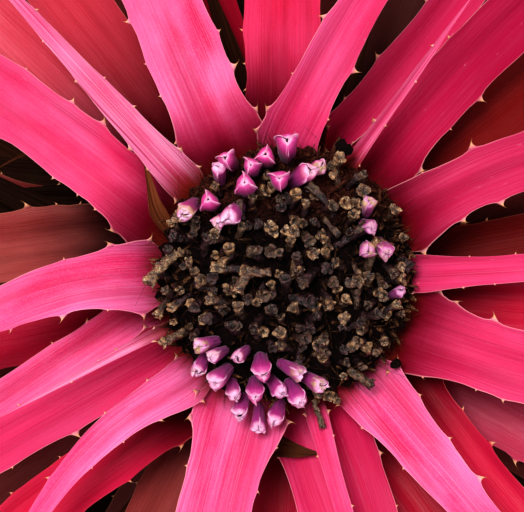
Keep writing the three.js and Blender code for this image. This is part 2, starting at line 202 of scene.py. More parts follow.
def turns(sides):
    """The angles round a ring of so many sides, in radians."""
    return np.arange(sides) * 2.0 * np.pi / sides


def together(*values):
    """Arrays spread to one shape and laid side by side along a new last axis."""
    return np.stack(np.broadcast_arrays(*values), -1)


def leaning(heading, lean):
    """Unit vectors that lean from upright towards a heading."""
    return together(cosd(heading) * sind(lean), sind(heading) * sind(lean), cosd(lean))


def ripple(points, wavelength, seed, waves=9):
    """Crumple at each point: the sum of plane sine waves in random directions, each about a wavelength
    long."""
    rng = np.random.default_rng(seed)
    directions = unit(rng.normal(size=(waves, 3)))
    rates = 2.0 * np.pi / wavelength * rng.uniform(0.7, 1.5, (waves, 1))
    phases = rng.uniform(0.0, 2.0 * np.pi, waves)
    return np.sin(points @ (directions * rates).T + phases).sum(-1) / np.sqrt(waves * 0.5) * 0.5


def cells(count, rect):
    """Lower corners and size of count equal cells that tile a rectangle of the unit square."""
    u0, v0, u1, v1 = rect
    columns = int(np.ceil(np.sqrt(count)))
    rows = int(np.ceil(count / columns))
    k = np.arange(count)
    size = np.array([(u1 - u0) / columns, (v1 - v0) / rows])
    return np.stack([u0 + (k % columns) * size[0], v0 + (k // columns) * size[1]], 1), size


# Empty share at each side of a tube's part of the chart.
CHART_EDGE = 0.03


class Skin:
    """Closed tubes gathered into one mesh, with two vectors of values at each vertex."""

    def __init__(self):
        self.points, self.place, self.kind, self.quads, self.charts = [], [], [], [], []
        self.count = 0

    def add(self, rings, place, kind, rect=(0, 0, 1, 1)):
        """Adds rings of shape (tubes, along, round, 3), each ring anticlockwise about the way along.
        Neighbours in a ring and in the next ring make a four-sided face, and each end is closed by faces from
        side to side, so a ring has an even number of sides."""
        tubes, n, m = rings.shape[:3]
        i, j = np.meshgrid(np.arange(n - 1), np.arange(m), indexing="ij")
        after = (j + 1) % m
        wall = np.stack([i * m + j, i * m + after, (i + 1) * m + after, (i + 1) * m + j], -1).reshape(-1, 4)
        k = np.arange(m // 2 - 1)
        cap = np.stack([k, k + 1, m - 2 - k, m - 1 - k], -1)
        faces = np.concatenate([wall, cap[:, ::-1], cap + (n - 1) * m])

        u = np.stack([j, j + 1, j + 1, j], -1).reshape(-1, 4) / m
        v = np.stack([i + 1, i + 1, i + 2, i + 2], -1).reshape(-1, 4) / (n + 1)
        cap_u = np.stack([k, k + 1, k + 1, k], -1) / m
        low = np.broadcast_to(np.array([1.0, 1.0, 0.0, 0.0]) / (n + 1), cap_u.shape)
        high = np.broadcast_to(np.array([n, n, n + 1.0, n + 1.0]) / (n + 1), cap_u.shape)
        chart_u = np.concatenate([u, cap_u[:, ::-1], cap_u])
        chart_v = np.concatenate([v, low[:, ::-1], high])
        chart = np.stack([chart_u, chart_v], -1)

        corner, size = cells(tubes, rect)
        self.charts.append(corner[:, None, None] + (CHART_EDGE + (1 - 2 * CHART_EDGE) * chart[None]) * size)
        first = self.count + np.arange(tubes)[:, None, None] * n * m
        self.quads.append((faces[None] + first).reshape(-1, 4))
        self.points.append(rings.reshape(-1, 3))
        self.place.append(np.broadcast_to(place, rings.shape).reshape(-1, 3))
        self.kind.append(np.broadcast_to(kind, rings.shape).reshape(-1, 3))
        self.count += tubes * n * m

    def put(self, name, material, slot, *replaced):
        """Makes the mesh in metres, with the values as attributes, and lets it ride on the plant."""
        quads = np.concatenate(self.quads).astype(np.int32)
        mesh = bpy.data.meshes.new(name)
        mesh.vertices.add(self.count)
        mesh.vertices.foreach_set("co", (np.concatenate(self.points) * MM).astype(np.float32).ravel())
        mesh.loops.add(quads.size)
        mesh.loops.foreach_set("vertex_index", quads.ravel())
        mesh.polygons.add(len(quads))
        mesh.polygons.foreach_set("loop_start", np.arange(0, quads.size, 4, dtype=np.int32))
        mesh.polygons.foreach_set("use_smooth", np.ones(len(quads), bool))
        for word, values in (("place", self.place), ("kind", self.kind)):
            held = mesh.attributes.new(word, "FLOAT_VECTOR", "POINT")
            held.data.foreach_set("vector", np.concatenate(values).astype(np.float32).ravel())
        chart = mesh.uv_layers.new(name="OFBake", do_init=False)
        laid = np.concatenate([c.reshape(-1, 2) for c in self.charts])
        chart.uv.foreach_set("vector", laid.astype(np.float32).ravel())
        mesh.update(calc_edges=True)
        mesh.validate()
        mesh.materials.append(material)
        piece = bpy.data.objects.new(name, mesh)
        bpy.context.scene.collection.objects.link(piece)
        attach(piece, "root")
        if replaced:
            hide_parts(*replaced)
        return piece


class Finish:
    """A material's node tree, with short words for the nodes that the finishes share."""

    def __init__(self, name, **shader):
        self.material = bpy.data.materials.new(name)
        self.material.use_nodes = True
        self.tree = self.material.node_tree
        self.shader = self.tree.nodes["Principled BSDF"]
        for word, value in shader.items():
            self.shader.inputs[word.replace("_", " ").title().replace("Ior", "IOR")].default_value = value

    def node(self, kind, sockets=(), **settings):
        made = self.tree.nodes.new(kind)
        for word, value in settings.items():
            setattr(made, word, value)
        for socket, value in dict(sockets).items():
            if isinstance(value, bpy.types.NodeSocket):
                self.tree.links.new(value, made.inputs[socket])
            else:
                made.inputs[socket].default_value = value
        return made

    def values(self, name):
        """The three numbers of a vertex attribute."""
        read = self.node("ShaderNodeAttribute", attribute_name=name)
        return self.node("ShaderNodeSeparateXYZ", {0: read.outputs["Vector"]}).outputs

    def spot(self):
        """The point in the piece's own coordinates."""
        return self.node("ShaderNodeTexCoord").outputs["Object"]

    def math(self, operation, a, b=0.0):
        return self.node("ShaderNodeMath", {0: a, 1: b}, operation=operation).outputs[0]

    def times(self, a, b):
        return self.math("MULTIPLY", a, b)

    def plus(self, a, b):
        return self.math("ADD", a, b)

    def vector(self, x, y, z):
        return self.node("ShaderNodeCombineXYZ", {0: x, 1: y, 2: z}).outputs[0]

    def grain(self, vector, scale, detail=2.0, roughness=0.5):
        """Noise from 0 to 1 at a vector."""
        sockets = {"Vector": vector, "Scale": scale, "Detail": detail, "Roughness": roughness}
        return self.node("ShaderNodeTexNoise", sockets).outputs["Fac"]

    def step(self, value, low, high, to_low=0.0, to_high=1.0):
        """A soft step from to_low to to_high as value goes from low to high."""
        sockets = {"Value": value, "From Min": low, "From Max": high, "To Min": to_low, "To Max": to_high}
        return self.node("ShaderNodeMapRange", sockets, interpolation_type="SMOOTHSTEP").outputs["Result"]

    def mix(self, share, a, b, blend="MIX"):
        """Colour a turned into colour b by a share."""
        made = self.node("ShaderNodeMix", data_type="RGBA", blend_type=blend)
        for socket, value in ((0, share), (6, a), (7, b)):
            if isinstance(value, bpy.types.NodeSocket):
                self.tree.links.new(value, made.inputs[socket])
            elif socket:
                made.inputs[socket].default_value = (*value, 1.0)
            else:
                made.inputs[socket].default_value = value
        return made.outputs[2]

    def coats(self, colour, *coats):
        """A colour with coats laid over it one after another, each a share and a colour."""
        for share, coat in coats:
            colour = self.mix(share, colour, coat)
        return colour

    def relief(self, height, distance, strength=1.0):
        """Bump of a height of 0 to 1 that stands up by a distance in metres."""
        bump = self.node("ShaderNodeBump", {"Height": height, "Distance": distance, "Strength": strength})
        self.tree.links.new(bump.outputs[0], self.shader.inputs["Normal"])

    def wear(self, colour, roughness=None):
        self.tree.links.new(colour, self.shader.inputs["Base Color"])
        if roughness is not None:
            self.tree.links.new(roughness, self.shader.inputs["Roughness"])
        return self.material


# Rusty scales at the leaf bases, dark specks, and the horn of the spines, at their foot and tip.
RUST, DARK_SPECK = (0.24, 0.035, 0.014), (0.12, 0.01, 0.01)
PALE_HORN, DARK_HORN = (0.74, 0.38, 0.20), (0.26, 0.09, 0.03)


def leaf_finish(
        name, pale, full, deep, dark_base_and_shade, edge, under, scurf, stripe, gloss, dark_to, dark_at=1.9, rich_to=0.0):
    """Waxy blade: lengthwise bands and veins, cloudy bloom that also stands for painted sheen, a painted
    highlight on one bank of the channel, margins painted paler as a highlight, painted shade in the channel
    near the foot, scurf flecks, a thin rim and horny spines. The dark base colour, partly the leaf's own and
    partly painted shade where the foot goes under the leaves above, is full as far as dark_at centimetres
    along the blade and gone at dark_to, and the full colour hides the bloom and sheen as far as rich_to.
    place is the share across, the way along in centimetres and 1 on the underside; kind is the way along a
    spine, the leaf's own tone and the half width in centimetres."""
    f = Finish(name, specular_ior_level=0.2, coat_weight=0.07, coat_roughness=0.3)
    across, along, below = f.values("place")[:3]
    spine, tone, half = f.values("kind")[:3]
    aside = f.times(across, half)
    seed = f.times(tone, 97.0)
    margin = f.math("ABSOLUTE", across)

    def along_grain(wide, long, detail=2.0, roughness=0.5):
        stretched = f.vector(f.times(aside, wide), f.times(along, long), seed)
        return f.grain(stretched, 1.0, detail, roughness)

    streak = along_grain(8.0, 0.45, 3.0, 0.65)
    vein = along_grain(26.0, 0.14)
    band = along_grain(1.7, 0.11)
    cloud = along_grain(0.8, 0.32, 3.0)
    dust = f.grain(f.spot(), 1300.0, 2.0)
    fleck = along_grain(9.0, 1.6, 4.0, 0.7)
    speck = along_grain(7.0, 5.0)
    crimp = along_grain(1.5, 9.0)
    own = f.grain(f.vector(seed, 7.3, 0.0), 1.0)
    bias = f.step(own, 0.35, 0.65, -0.45, 0.45)
    middle = f.math("ABSOLUTE", f.plus(across, bias))

    # How far the pale bloom shows; the same pale coats also stand for painted sheen and highlights, weaker on
    # deep leaves and far out.
    bloom_and_sheen = f.times(f.step(tone, 0.0, 0.5, 1.0, 0.22), f.step(along, 4.6, 7.6, 1.0, 0.62))
    # Painted highlight: one bank of the channel, on a side chosen per leaf, is painted paler as if it faced
    # the light.
    painted_lit_side = f.step(f.plus(across, bias), -0.7, 0.7, 0.05, 0.5)
    # Painted shade: the middle of the blade near the foot is painted deep, as shade down in the channel.
    painted_channel_shade = f.times(f.step(middle, 0.5, 0.0), f.step(along, 7.0, 3.0, 0.0, 0.45))
    near = f.plus(along, f.times(cloud, 1.6))
    rust = f.step(f.plus(along, f.times(streak, 1.2)), 2.5, 1.7, 0.0, 0.65)
    line = f.times(f.step(margin, 0.965, 1.0), f.step(cloud, 0.3, 0.6, 0.05, 0.6))

    def bloom_and_sheen_share(share):
        return f.times(share, bloom_and_sheen)

    colour = f.coats(
        full,
        (bloom_and_sheen_share(f.step(cloud, 0.38, 0.7)), pale),
        (bloom_and_sheen_share(painted_lit_side), pale),
        (bloom_and_sheen_share(f.step(band, 0.5, 0.72, 0.0, 0.34)), pale),
        (bloom_and_sheen_share(f.step(dust, 0.4, 0.68, 0.0, 0.13)), scurf),
        # Painted highlight: the margins are painted paler, as the raised margins catch the light.
        (bloom_and_sheen_share(f.step(margin, 0.62, 0.96, 0.0, 0.45)), pale),
        (f.math("MINIMUM", f.math("SUBTRACT", tone, 0.1), 0.95), deep),
        (f.step(band, 0.48, 0.28, 0.0, 0.30), deep),
        (painted_channel_shade, deep),
        (bloom_and_sheen_share(f.step(streak, 0.5, 0.75, 0.0, stripe)), pale),
        (f.step(streak, 0.45, 0.25, 0.0, stripe * 0.6), deep),
        (f.step(vein, 0.5, 0.3, 0.0, stripe * 1.5), deep),
        (bloom_and_sheen_share(f.step(vein, 0.56, 0.7, 0.0, stripe * 1.4)), scurf),
        (f.step(fleck, 0.66, 0.78, 0.0, 0.45), scurf),
        (f.step(speck, 0.76, 0.82, 0.0, 0.5), DARK_SPECK),
        (bloom_and_sheen_share(f.step(near, rich_to, 0.5 * rich_to, 0.0, 0.8)), full),
        # Darker towards the foot: partly the base's own dark colour, partly painted shade under the leaves
        # above.
        (f.step(near, dark_to, dark_at), dark_base_and_shade),
        (f.times(rust, f.step(fleck, 0.4, 0.62, 0.35, 1.0)), RUST),
        (f.times(below, 0.75), under),
        (line, edge),
        (f.step(spine, 0.1, 0.5), f.mix(f.step(spine, 0.45, 0.95), PALE_HORN, DARK_HORN)))

    crimped = f.times(crimp, f.step(along, 4.4, 2.2, 0.0, 0.35))
    f.relief(f.plus(crimped, f.plus(vein, streak)), 0.0005, 0.6)
    rough = f.step(streak, 0.3, 0.8, gloss, gloss + 0.22)
    return f.wear(colour, rough)


# The colours of a leaf: its bloom, also laid on as painted sheen and highlights, its own colour, the deep
# bands, also laid on as painted shade in the channel, the dark base, partly painted shade, the thin rim, the
# underside and the scurf. stripe is how far the veins and streaks show, and gloss is the roughness where it
# is least.
PINK = dict(
    pale=(0.97, 0.210, 0.490), full=(0.88, 0.028, 0.152), deep=(0.37, 0.002, 0.044),
    dark_base_and_shade=(0.14, 0.002, 0.007), edge=(0.94, 0.42, 0.44), under=(0.50, 0.07, 0.13), scurf=(0.97, 0.38, 0.60),
    stripe=0.2, gloss=0.27)
ROSY = dict(
    PINK, pale=(0.97, 0.200, 0.480), full=(0.89, 0.040, 0.185), deep=(0.42, 0.002, 0.044),
    dark_base_and_shade=(0.34, 0.007, 0.025))
PINK_LEAF = leaf_finish("waxy_pink_leaf", **PINK, dark_to=5.2, rich_to=8.6)
BRIGHT_LEAF = leaf_finish("bright_pink_leaf", **PINK, dark_to=4.9, rich_to=5.4)
ROSY_LEAF = leaf_finish("rosy_leaf", **ROSY, dark_to=2.8, dark_at=1.4)
PALE_LEAF = leaf_finish(
    "pale_folded_leaf", pale=(0.97, 0.330, 0.580), full=(0.90, 0.110, 0.290), deep=(0.42, 0.006, 0.070),
    dark_base_and_shade=(0.36, 0.020, 0.012), edge=(0.95, 0.55, 0.50), under=(0.50, 0.07, 0.13), scurf=(0.97, 0.50, 0.66),
    stripe=0.5, gloss=0.3, dark_to=3.4)
CRIMSON_LEAF = leaf_finish(
    "crimson_leaf", pale=(0.86, 0.045, 0.170), full=(0.74, 0.009, 0.070), deep=(0.28, 0.0005, 0.012),
    dark_base_and_shade=(0.08, 0.001, 0.003), edge=(0.62, 0.08, 0.08), under=(0.34, 0.06, 0.07), scurf=(0.80, 0.12, 0.20),
    stripe=0.14, gloss=0.34, dark_to=6.6, dark_at=2.8)
SHADED_LEAF = leaf_finish(
    "shaded_leaf", pale=(0.44, 0.030, 0.030), full=(0.26, 0.0020, 0.0030), deep=(0.11, 0.0002, 0.0004),
    dark_base_and_shade=(0.085, 0.003, 0.003), edge=(0.40, 0.09, 0.05), under=(0.24, 0.04, 0.04), scurf=(0.46, 0.06, 0.07),
    stripe=0.1, gloss=0.5, dark_to=7.0)
# A near-black red outer leaf: painted shade for a leaf that lies deep in a gap.
SHADOWED_OUTER_LEAF = leaf_finish(
    "shadowed_outer_leaf", pale=(0.17, 0.040, 0.026), full=(0.085, 0.010, 0.008), deep=(0.035, 0.003, 0.003),
    dark_base_and_shade=(0.008, 0.001, 0.001), edge=(0.26, 0.10, 0.05), under=(0.10, 0.03, 0.02), scurf=(0.20, 0.07, 0.04),
    stripe=0.1, gloss=0.5, dark_to=8.0)
SALMON_LEAF = leaf_finish(
    "salmon_leaf", pale=(0.86, 0.150, 0.220), full=(0.72, 0.045, 0.092), deep=(0.36, 0.010, 0.018),
    dark_base_and_shade=(0.05, 0.001, 0.002), edge=(0.76, 0.20, 0.18), under=(0.40, 0.09, 0.09), scurf=(0.86, 0.26, 0.28),
    stripe=0.16, gloss=0.34, dark_to=9.6, dark_at=3.4)
MAUVE_LEAF = leaf_finish(
    "mauve_leaf", pale=(0.80, 0.140, 0.270), full=(0.60, 0.045, 0.125), deep=(0.31, 0.010, 0.034),
    dark_base_and_shade=(0.05, 0.001, 0.003), edge=(0.72, 0.20, 0.22), under=(0.40, 0.09, 0.10), scurf=(0.82, 0.26, 0.36),
    stripe=0.12, gloss=0.34, dark_to=8.4)
OLD = dict(
    pale=(0.52, 0.130, 0.120), full=(0.34, 0.036, 0.036), deep=(0.085, 0.008, 0.005),
    dark_base_and_shade=(0.02, 0.003, 0.002), edge=(0.42, 0.15, 0.09), under=(0.20, 0.06, 0.05), scurf=(0.46, 0.18, 0.15),
    stripe=0.09, gloss=0.4)
OLD_LEAF = leaf_finish("old_leaf", **OLD, dark_to=7.0)
# An old leaf whose dark base runs further out: painted shade where it lies under the leaves above.
SHADOWED_OLD_LEAF = leaf_finish("shadowed_old_leaf", **OLD, dark_to=7.2, dark_at=3.6)


def stem_radius(z):
    """The stem's taper, and below its foot the flare, which grows with the square of the way down."""
    taper = STEM_FOOT_R + (STEM_TOP_R - STEM_FOOT_R) * (z - STEM_FOOT_Z) / (STEM_TOP_Z - STEM_FOOT_Z)
    down = np.clip((STEM_FOOT_Z - z) / STEM_FOOT_Z, 0.0, 1.0)
    return np.where(z >= STEM_FOOT_Z, taper, STEM_FOOT_R + (ROOT_FLARE_R - STEM_FOOT_R) * down**2)


def dome_height(r):
    """The dome falls from its middle with the 2.4th power of the radius."""
    return HEAD_RIM_Z + HEAD_RISE * (1.0 - np.clip(r / HEAD_R, 0.0, 1.0) ** 2.4)


class Level:
    """A surface of revolution that the leaves of one level lie on: its slope falls from the foot's to the
    spread's along a bell curve, then droops with the square of the distance, and its height is the slope
    summed."""

    def __init__(self, level):
        self.level = level
        foot_z = LEVEL_TOP_Z - LEVEL_STEP * level
        self.foot_r = float(stem_radius(foot_z)) + CLEARANCE
        self.radii = self.foot_r + np.arange(FULL_REACH_R + 80)
        rises = np.tan(np.radians(self.slope(self.radii[:-1] + 0.5)))
        self.heights = foot_z + np.concatenate([[0.0], np.cumsum(rises)])

    def slope(self, r):
        foot = FOOT_RISE - FOOT_RISE_STEP * self.level
        spread = SPREAD_RISE - SPREAD_RISE_STEP * self.level
        far = np.maximum(0.0, (r - BLADE_START_R) / (FULL_REACH_R - BLADE_START_R))
        bend = bell((r - self.foot_r) / BEND_RUN)
        return spread + (foot - spread) * bend - (DROOP - DROOP_STEP * self.level) * far**2

    def height(self, r):
        return np.interp(r, self.radii, self.heights)


# Where along the blade the flare and the waist are, and how far each reaches.
FLARE_AT, FLARE_RUN, WAIST_AT, WAIST_RUN = 13.0, 9.0, 42.0, 20.0


def half_width(leaf, s):
    """The blade widens over its first stretch, then narrows by a power of the way along. It flares where it
    leaves the head and has a soft waist beyond."""
    widened = leaf["foot"] + (1.0 - leaf["foot"]) * smooth(s / WIDEN_RUN)
    along = np.clip((s - WIDEN_RUN) / (leaf["length"] - WIDEN_RUN), 0.0, 1.0)
    flare = leaf["flare"] * bell((s - FLARE_AT) / FLARE_RUN)
    waist = leaf["waist"] * bell((s - WAIST_AT) / WAIST_RUN)
    thinned = 1.0 - leaf["thin"] * smooth((s - WIDEN_RUN) / SWEEP_RUN)
    return leaf["half"] * widened * (1.0 + flare - waist) * thinned * (1.0 - along ** leaf["taper"])


def course(leaf, s):
    """Heading at a length s: it turns off the radius near the foot, then bows to one side."""
    return leaf["at"] + leaf["turn"] * smooth(s / TURN_RUN) + leaf["sweep"] * smooth(s / SWEEP_RUN)


# How far along the margin a spine's swelling reaches, and the half width of a leaf that swells in full.
SWELL_RUN, FULL_SWELL_HALF = 2.3, 11.0


def bulge(leaf, s, v):
    """The margin swells like a bell curve round each spine's place, by the most of what the spines there
    give, and less on a narrow leaf."""
    s = np.asarray(s)[..., None]
    swell = [(size * bell((s - spots) / SWELL_RUN)).max(-1) for spots, size in leaf["spines"]]
    return np.where(v > 0, *swell) * np.abs(v) ** 7 * np.minimum(1.0, leaf["half"] / FULL_SWELL_HALF) ** 2


# The margins' waver, as a share of the width, and its two lengths. Creases begin at CREASE_FROM and are full
# after CREASE_RUN, where the half width is FULL_HALF or more, with one deeper groove among them. The margins
# also wave up and down, and curl up where the leaf leaves the head.
WAVER, LONG_WAVER, SHORT_WAVER = 0.03, 13.0, 4.7
CREASE_FROM, CREASE_RUN, CREASE_DRIFT, FULL_HALF = 8.0, 30.0, 90.0, 8.0
GROOVE_DEPTH, GROOVE_WIDTH, FULL_GROOVE_HALF = 0.7, 0.13, 9.0
WAVE_HEIGHT, CURL_HEIGHT, CURL_AT, CURL_RUN = 1.1, 3.0, 20.0, 15.0


def blade(leaf, level, s, v, drop):
    """Points of a blade at lengths s along it, shares v across it and depths under its top: the middle line
    follows the course, the surface lies on its level, the margins rise with a power of v, waver and swell at
    the spines, and soft creases run lengthwise."""
    steps = np.arange(0.0, leaf["length"] + 2.0)
    way = course(leaf, steps)
    x0, y0 = level.foot_r * cosd(leaf["at"]), level.foot_r * sind(leaf["at"])
    xs = x0 + np.concatenate([[0.0], np.cumsum(cosd(way[:-1]))])
    ys = y0 + np.concatenate([[0.0], np.cumsum(sind(way[:-1]))])
    heading = course(leaf, s)
    half = half_width(leaf, s)
    side, phase = np.sign(v), leaf["phase"]
    waver = 1.0 + WAVER * np.sin(s / LONG_WAVER + phase + 2.0 * side)
    waver = waver + WAVER * np.sin(s / SHORT_WAVER + 3 * side)
    across = v * half * (1.0 + (waver - 1.0) * np.abs(v)) + side * bulge(leaf, s, v)
    x = np.interp(s, steps, xs) - across * sind(heading)
    y = np.interp(s, steps, ys) + across * cosd(heading)
    r = np.hypot(x, y)

    wide = np.minimum(1.0, half / FULL_HALF)
    out = smooth((s - CREASE_FROM) / CREASE_RUN) * wide
    lift = leaf["fold"] * half * np.abs(v) ** CHANNEL_POWER
    crease = leaf["ribs"] * np.cos(v * leaf["creases"] + phase + s / CREASE_DRIFT) * (1.0 - v**4) * out
    groove = GROOVE_DEPTH * out * bell((v - leaf["groove"]) / GROOVE_WIDTH)
    crease = crease - groove * np.minimum(1.0, half / FULL_GROOVE_HALF)
    wave = WAVE_HEIGHT * np.sin(s / leaf["wave"] + phase + 1.3 * side) * np.abs(v) ** 3 * out
    curl = CURL_HEIGHT * np.abs(v) ** 5 * bell((s - CURL_AT) / CURL_RUN) * wide
    slope = level.slope(r)
    z = level.height(r) + lift + crease + wave + curl - drop * cosd(slope)
    spread = 1.0 + drop * sind(slope) / r
    return np.stack([x * spread, y * spread, z], -1)


# A blade's rows, which lie closer near the foot and stop just short of the tip, and its columns a side.
ROWS, COLUMNS = 92, 17
ROW_POWER, LAST_ROW = 1.25, 0.9985
SPINE_RINGS, SPINE_SIDES = 6, 6
# A blade's thickness at the margin, what it has more in the middle, the share that it loses by the tip, and
# the half width from which it is full.
MARGIN_THICK, MIDDLE_THICK, TIP_LOSS, FULL_THICK_HALF = 0.35, 1.45, 0.6, 4.0


def blade_rings(leaf, level, rows=ROWS):
    """The section goes over the top from the left margin to the right and back underneath. It is thickest in
    the middle and near the foot, and its columns crowd to the margins as a sine does."""
    s = leaf["length"] * (np.linspace(0.0, LAST_ROW, rows) ** ROW_POWER)[:, None]
    v = np.sin(np.linspace(np.pi / 2, -np.pi / 2, COLUMNS))
    v = np.concatenate([v, v[::-1]])[None]
    below = np.repeat([0.0, 1.0], COLUMNS)[None]
    half = half_width(leaf, s)
    body = MARGIN_THICK + MIDDLE_THICK * (1.0 - v**2) ** 0.6
    thick = body * (1.0 - TIP_LOSS * s / leaf["length"]) * np.minimum(1.0, half / FULL_THICK_HALF)
    points = blade(leaf, level, s, v, below * thick)
    return points[None], together(v, s / 10.0, below)[None], together(0.0, leaf["tone"], half / 10.0)[None]


# Spines: the share of their length by which the margin swells, the shares of them that are large and that
# hook forward, the lengths of large and small ones, the gap between them at the foot and how much it grows,
# and the stretch at the tip that has none.
BULGE_SHARE, LARGE_SHARE, HOOKED_SHARE = 0.24, 0.34, 0.82
LARGE_SPINE, SMALL_SPINE = (3.0, 4.6), (1.2, 2.4)
SPINE_GAP, SPINE_GAP_MORE, BARE_TIP = 8.0, 16.0, 12


def spine_places(leaf, rng):
    """Places of the spines along both margins, closer together near the foot, and how far the margin swells
    at each, a share of the spine's length. The first pair and about a third of the others are large."""
    places = []
    for _ in range(2):
        s = [WIDEN_RUN * 0.72 + rng.uniform(0, 4)]
        while s[-1] < leaf["length"] - BARE_TIP:
            share = s[-1] / leaf["length"]
            s.append(s[-1] + rng.uniform(0.5, 1.5) * (SPINE_GAP + SPINE_GAP_MORE * min(1.0, share * 3)))
        s = np.array(s[:-1])
        large = (rng.random(len(s)) < LARGE_SHARE) | (s == s[0])
        size = np.where(large, rng.uniform(*LARGE_SPINE, len(s)), rng.uniform(*SMALL_SPINE, len(s)))
        places.append((s, BULGE_SHARE * size * (1.0 - 0.5 * s / leaf["length"])))
    return places


def spine_rings(leaf, level, rng):
    """Hooked spines along both margins: each centre line leaves the margin outwards and curves along the
    blade with the square of its length, and its flat section shrinks to a point."""
    sets = []
    for side, (s, swell) in zip((1.0, -1.0), leaf["spines"]):
        v = np.full_like(s, side)
        edge = blade(leaf, level, s, v, 0.2)
        along = unit(blade(leaf, level, s + 0.5, v, 0.2) - edge)
        outward = unit(edge - blade(leaf, level, s, v * 0.9, 0.2))
        outward = unit(outward - (outward * along).sum(-1, keepdims=True) * along)
        size = swell / BULGE_SHARE * np.minimum(1.0, 0.4 + half_width(leaf, s) / 10.0)
        hooked = rng.random(len(s)) < HOOKED_SHARE
        hook = np.where(hooked, rng.uniform(0.35, 1.0, len(s)), rng.uniform(-0.7, 0.1, len(s)))
        sets.append((edge, along, outward, size, hook, v, s))
    edge, along, outward, size, hook, v, s = (np.concatenate(a) for a in zip(*sets))

    t = np.linspace(0.0, 1.0, SPINE_RINGS)
    turn = turns(SPINE_SIDES)[:, None]
    size, hook = size[:, None, None, None], hook[:, None, None, None]
    t4 = t[None, :, None, None]
    normal = np.cross(outward, along)
    edge, along, outward, normal = (a[:, None, None, :] for a in (edge, along, outward, normal))
    centre = edge + outward * (size * (t4 * 0.95 - 0.12)) + along * (size * hook * t4**2 * 0.9)
    long = size * (0.55 * (1.0 - t4) ** 2.8 + 0.014)
    thin = 0.34 * (1.0 - t4) + 0.03
    points = centre + (along * np.cos(turn) * long + normal * np.sin(turn) * thin)
    v, s = v[:, None, None], s[:, None, None]
    place = together(v, s / 10.0, np.zeros(points.shape[:3]))
    return points, place, together(t[:, None], leaf["tone"], half_width(leaf, s) / 10.0)


def make_leaf(name, words, foot, material, slot, seed):
    """One leaf in place of its solid: the blade takes most of the chart, and the spines a strip beside it."""
    rng = np.random.default_rng(seed)
    leaf = dict(sweep=rng.uniform(-7, 7), thin=0.0, foot=foot)
    leaf.update(zip(LEAF_WORDS, words))
    leaf["tone"] += rng.uniform(-0.02, 0.02)
    leaf.update(creases=rng.uniform(4.0, 8.0), phase=rng.uniform(0, 6.28), wave=rng.uniform(7.0, 12.0))
    leaf.update(groove=rng.uniform(-0.6, 0.6), ribs=rng.uniform(0.35, 1.0))
    leaf.update(flare=rng.uniform(0.08, 0.22), waist=rng.uniform(0.02, 0.09))
    leaf["spines"] = spine_places(leaf, rng)
    level = Level(leaf["level"])
    skin = Skin()
    skin.add(*blade_rings(leaf, level), rect=(0, 0, 0.88, 1))
    skin.add(*spine_rings(leaf, level, rng), rect=(0.88, 0, 1, 1))
    return skin.put(name, material, slot, name)


def outer_leaf(k):
    """The old outer leaves follow each other at the golden angle, one a fifth of a level under the last."""
    return (
        OUTER_FIRST_AT + k * GOLDEN_ANGLE, OUTER_TURN_SPREAD * np.sin(k * 2.1),
        OUTER_HALF + OUTER_HALF_SPREAD * np.sin(k * 1.3),
        OUTER_LENGTH + OUTER_LENGTH_SPREAD * np.sin(k * 1.9), OUTER_TAPER,
        OUTER_TOP_LEVEL + OUTER_LEVEL_STEP * k, OUTER_FOLD, 0.75 + 0.3 * np.sin(k * 2.7))


# Leaves with another finish than the rest of their tier.
OTHER_FINISH = {f"leaf_{leaf}": finish for finish, leaves in (
    (ROSY_LEAF, "inner_01 inner_05 inner_09 inner_11 inner_12 inner_13 inner_14"),
    (ROSY_LEAF, "middle_04 middle_11 middle_12 middle_16 middle_17"),
    (BRIGHT_LEAF, "inner_02 inner_06 inner_15"),
    (PALE_LEAF, "inner_04 inner_07 inner_10"),
    (SHADED_LEAF, "middle_01 middle_03"),
    (SALMON_LEAF, "middle_07 middle_08"),
    (MAUVE_LEAF, "middle_20"),
    (SHADOWED_OLD_LEAF, "middle_09"),
    (OLD_LEAF, "middle_02 middle_14"),
    (SHADOWED_OUTER_LEAF, "outer_01"),
) for leaf in leaves.split()}


def make_leaves():
    """The leaves of the three tiers, each in place of its solid."""
    tiers = (
        ("leaf_inner", INNER_LEAVES, FOOT_WIDTH_SHARE, PINK_LEAF, 100),
        ("leaf_middle", MIDDLE_LEAVES, FOOT_WIDTH_SHARE, CRIMSON_LEAF, 200),
        ("leaf_outer", [outer_leaf(k) for k in range(OUTER_COUNT)], OUTER_FOOT_WIDTH_SHARE, OLD_LEAF, 300),
    )
    for tier, leaves, foot, material, seed in tiers:
        for k, words in enumerate(leaves):
            name = f"{tier}_{k + 1:02d}"
            make_leaf(name, words, foot, OTHER_FINISH.get(name, material), tier, seed + k)


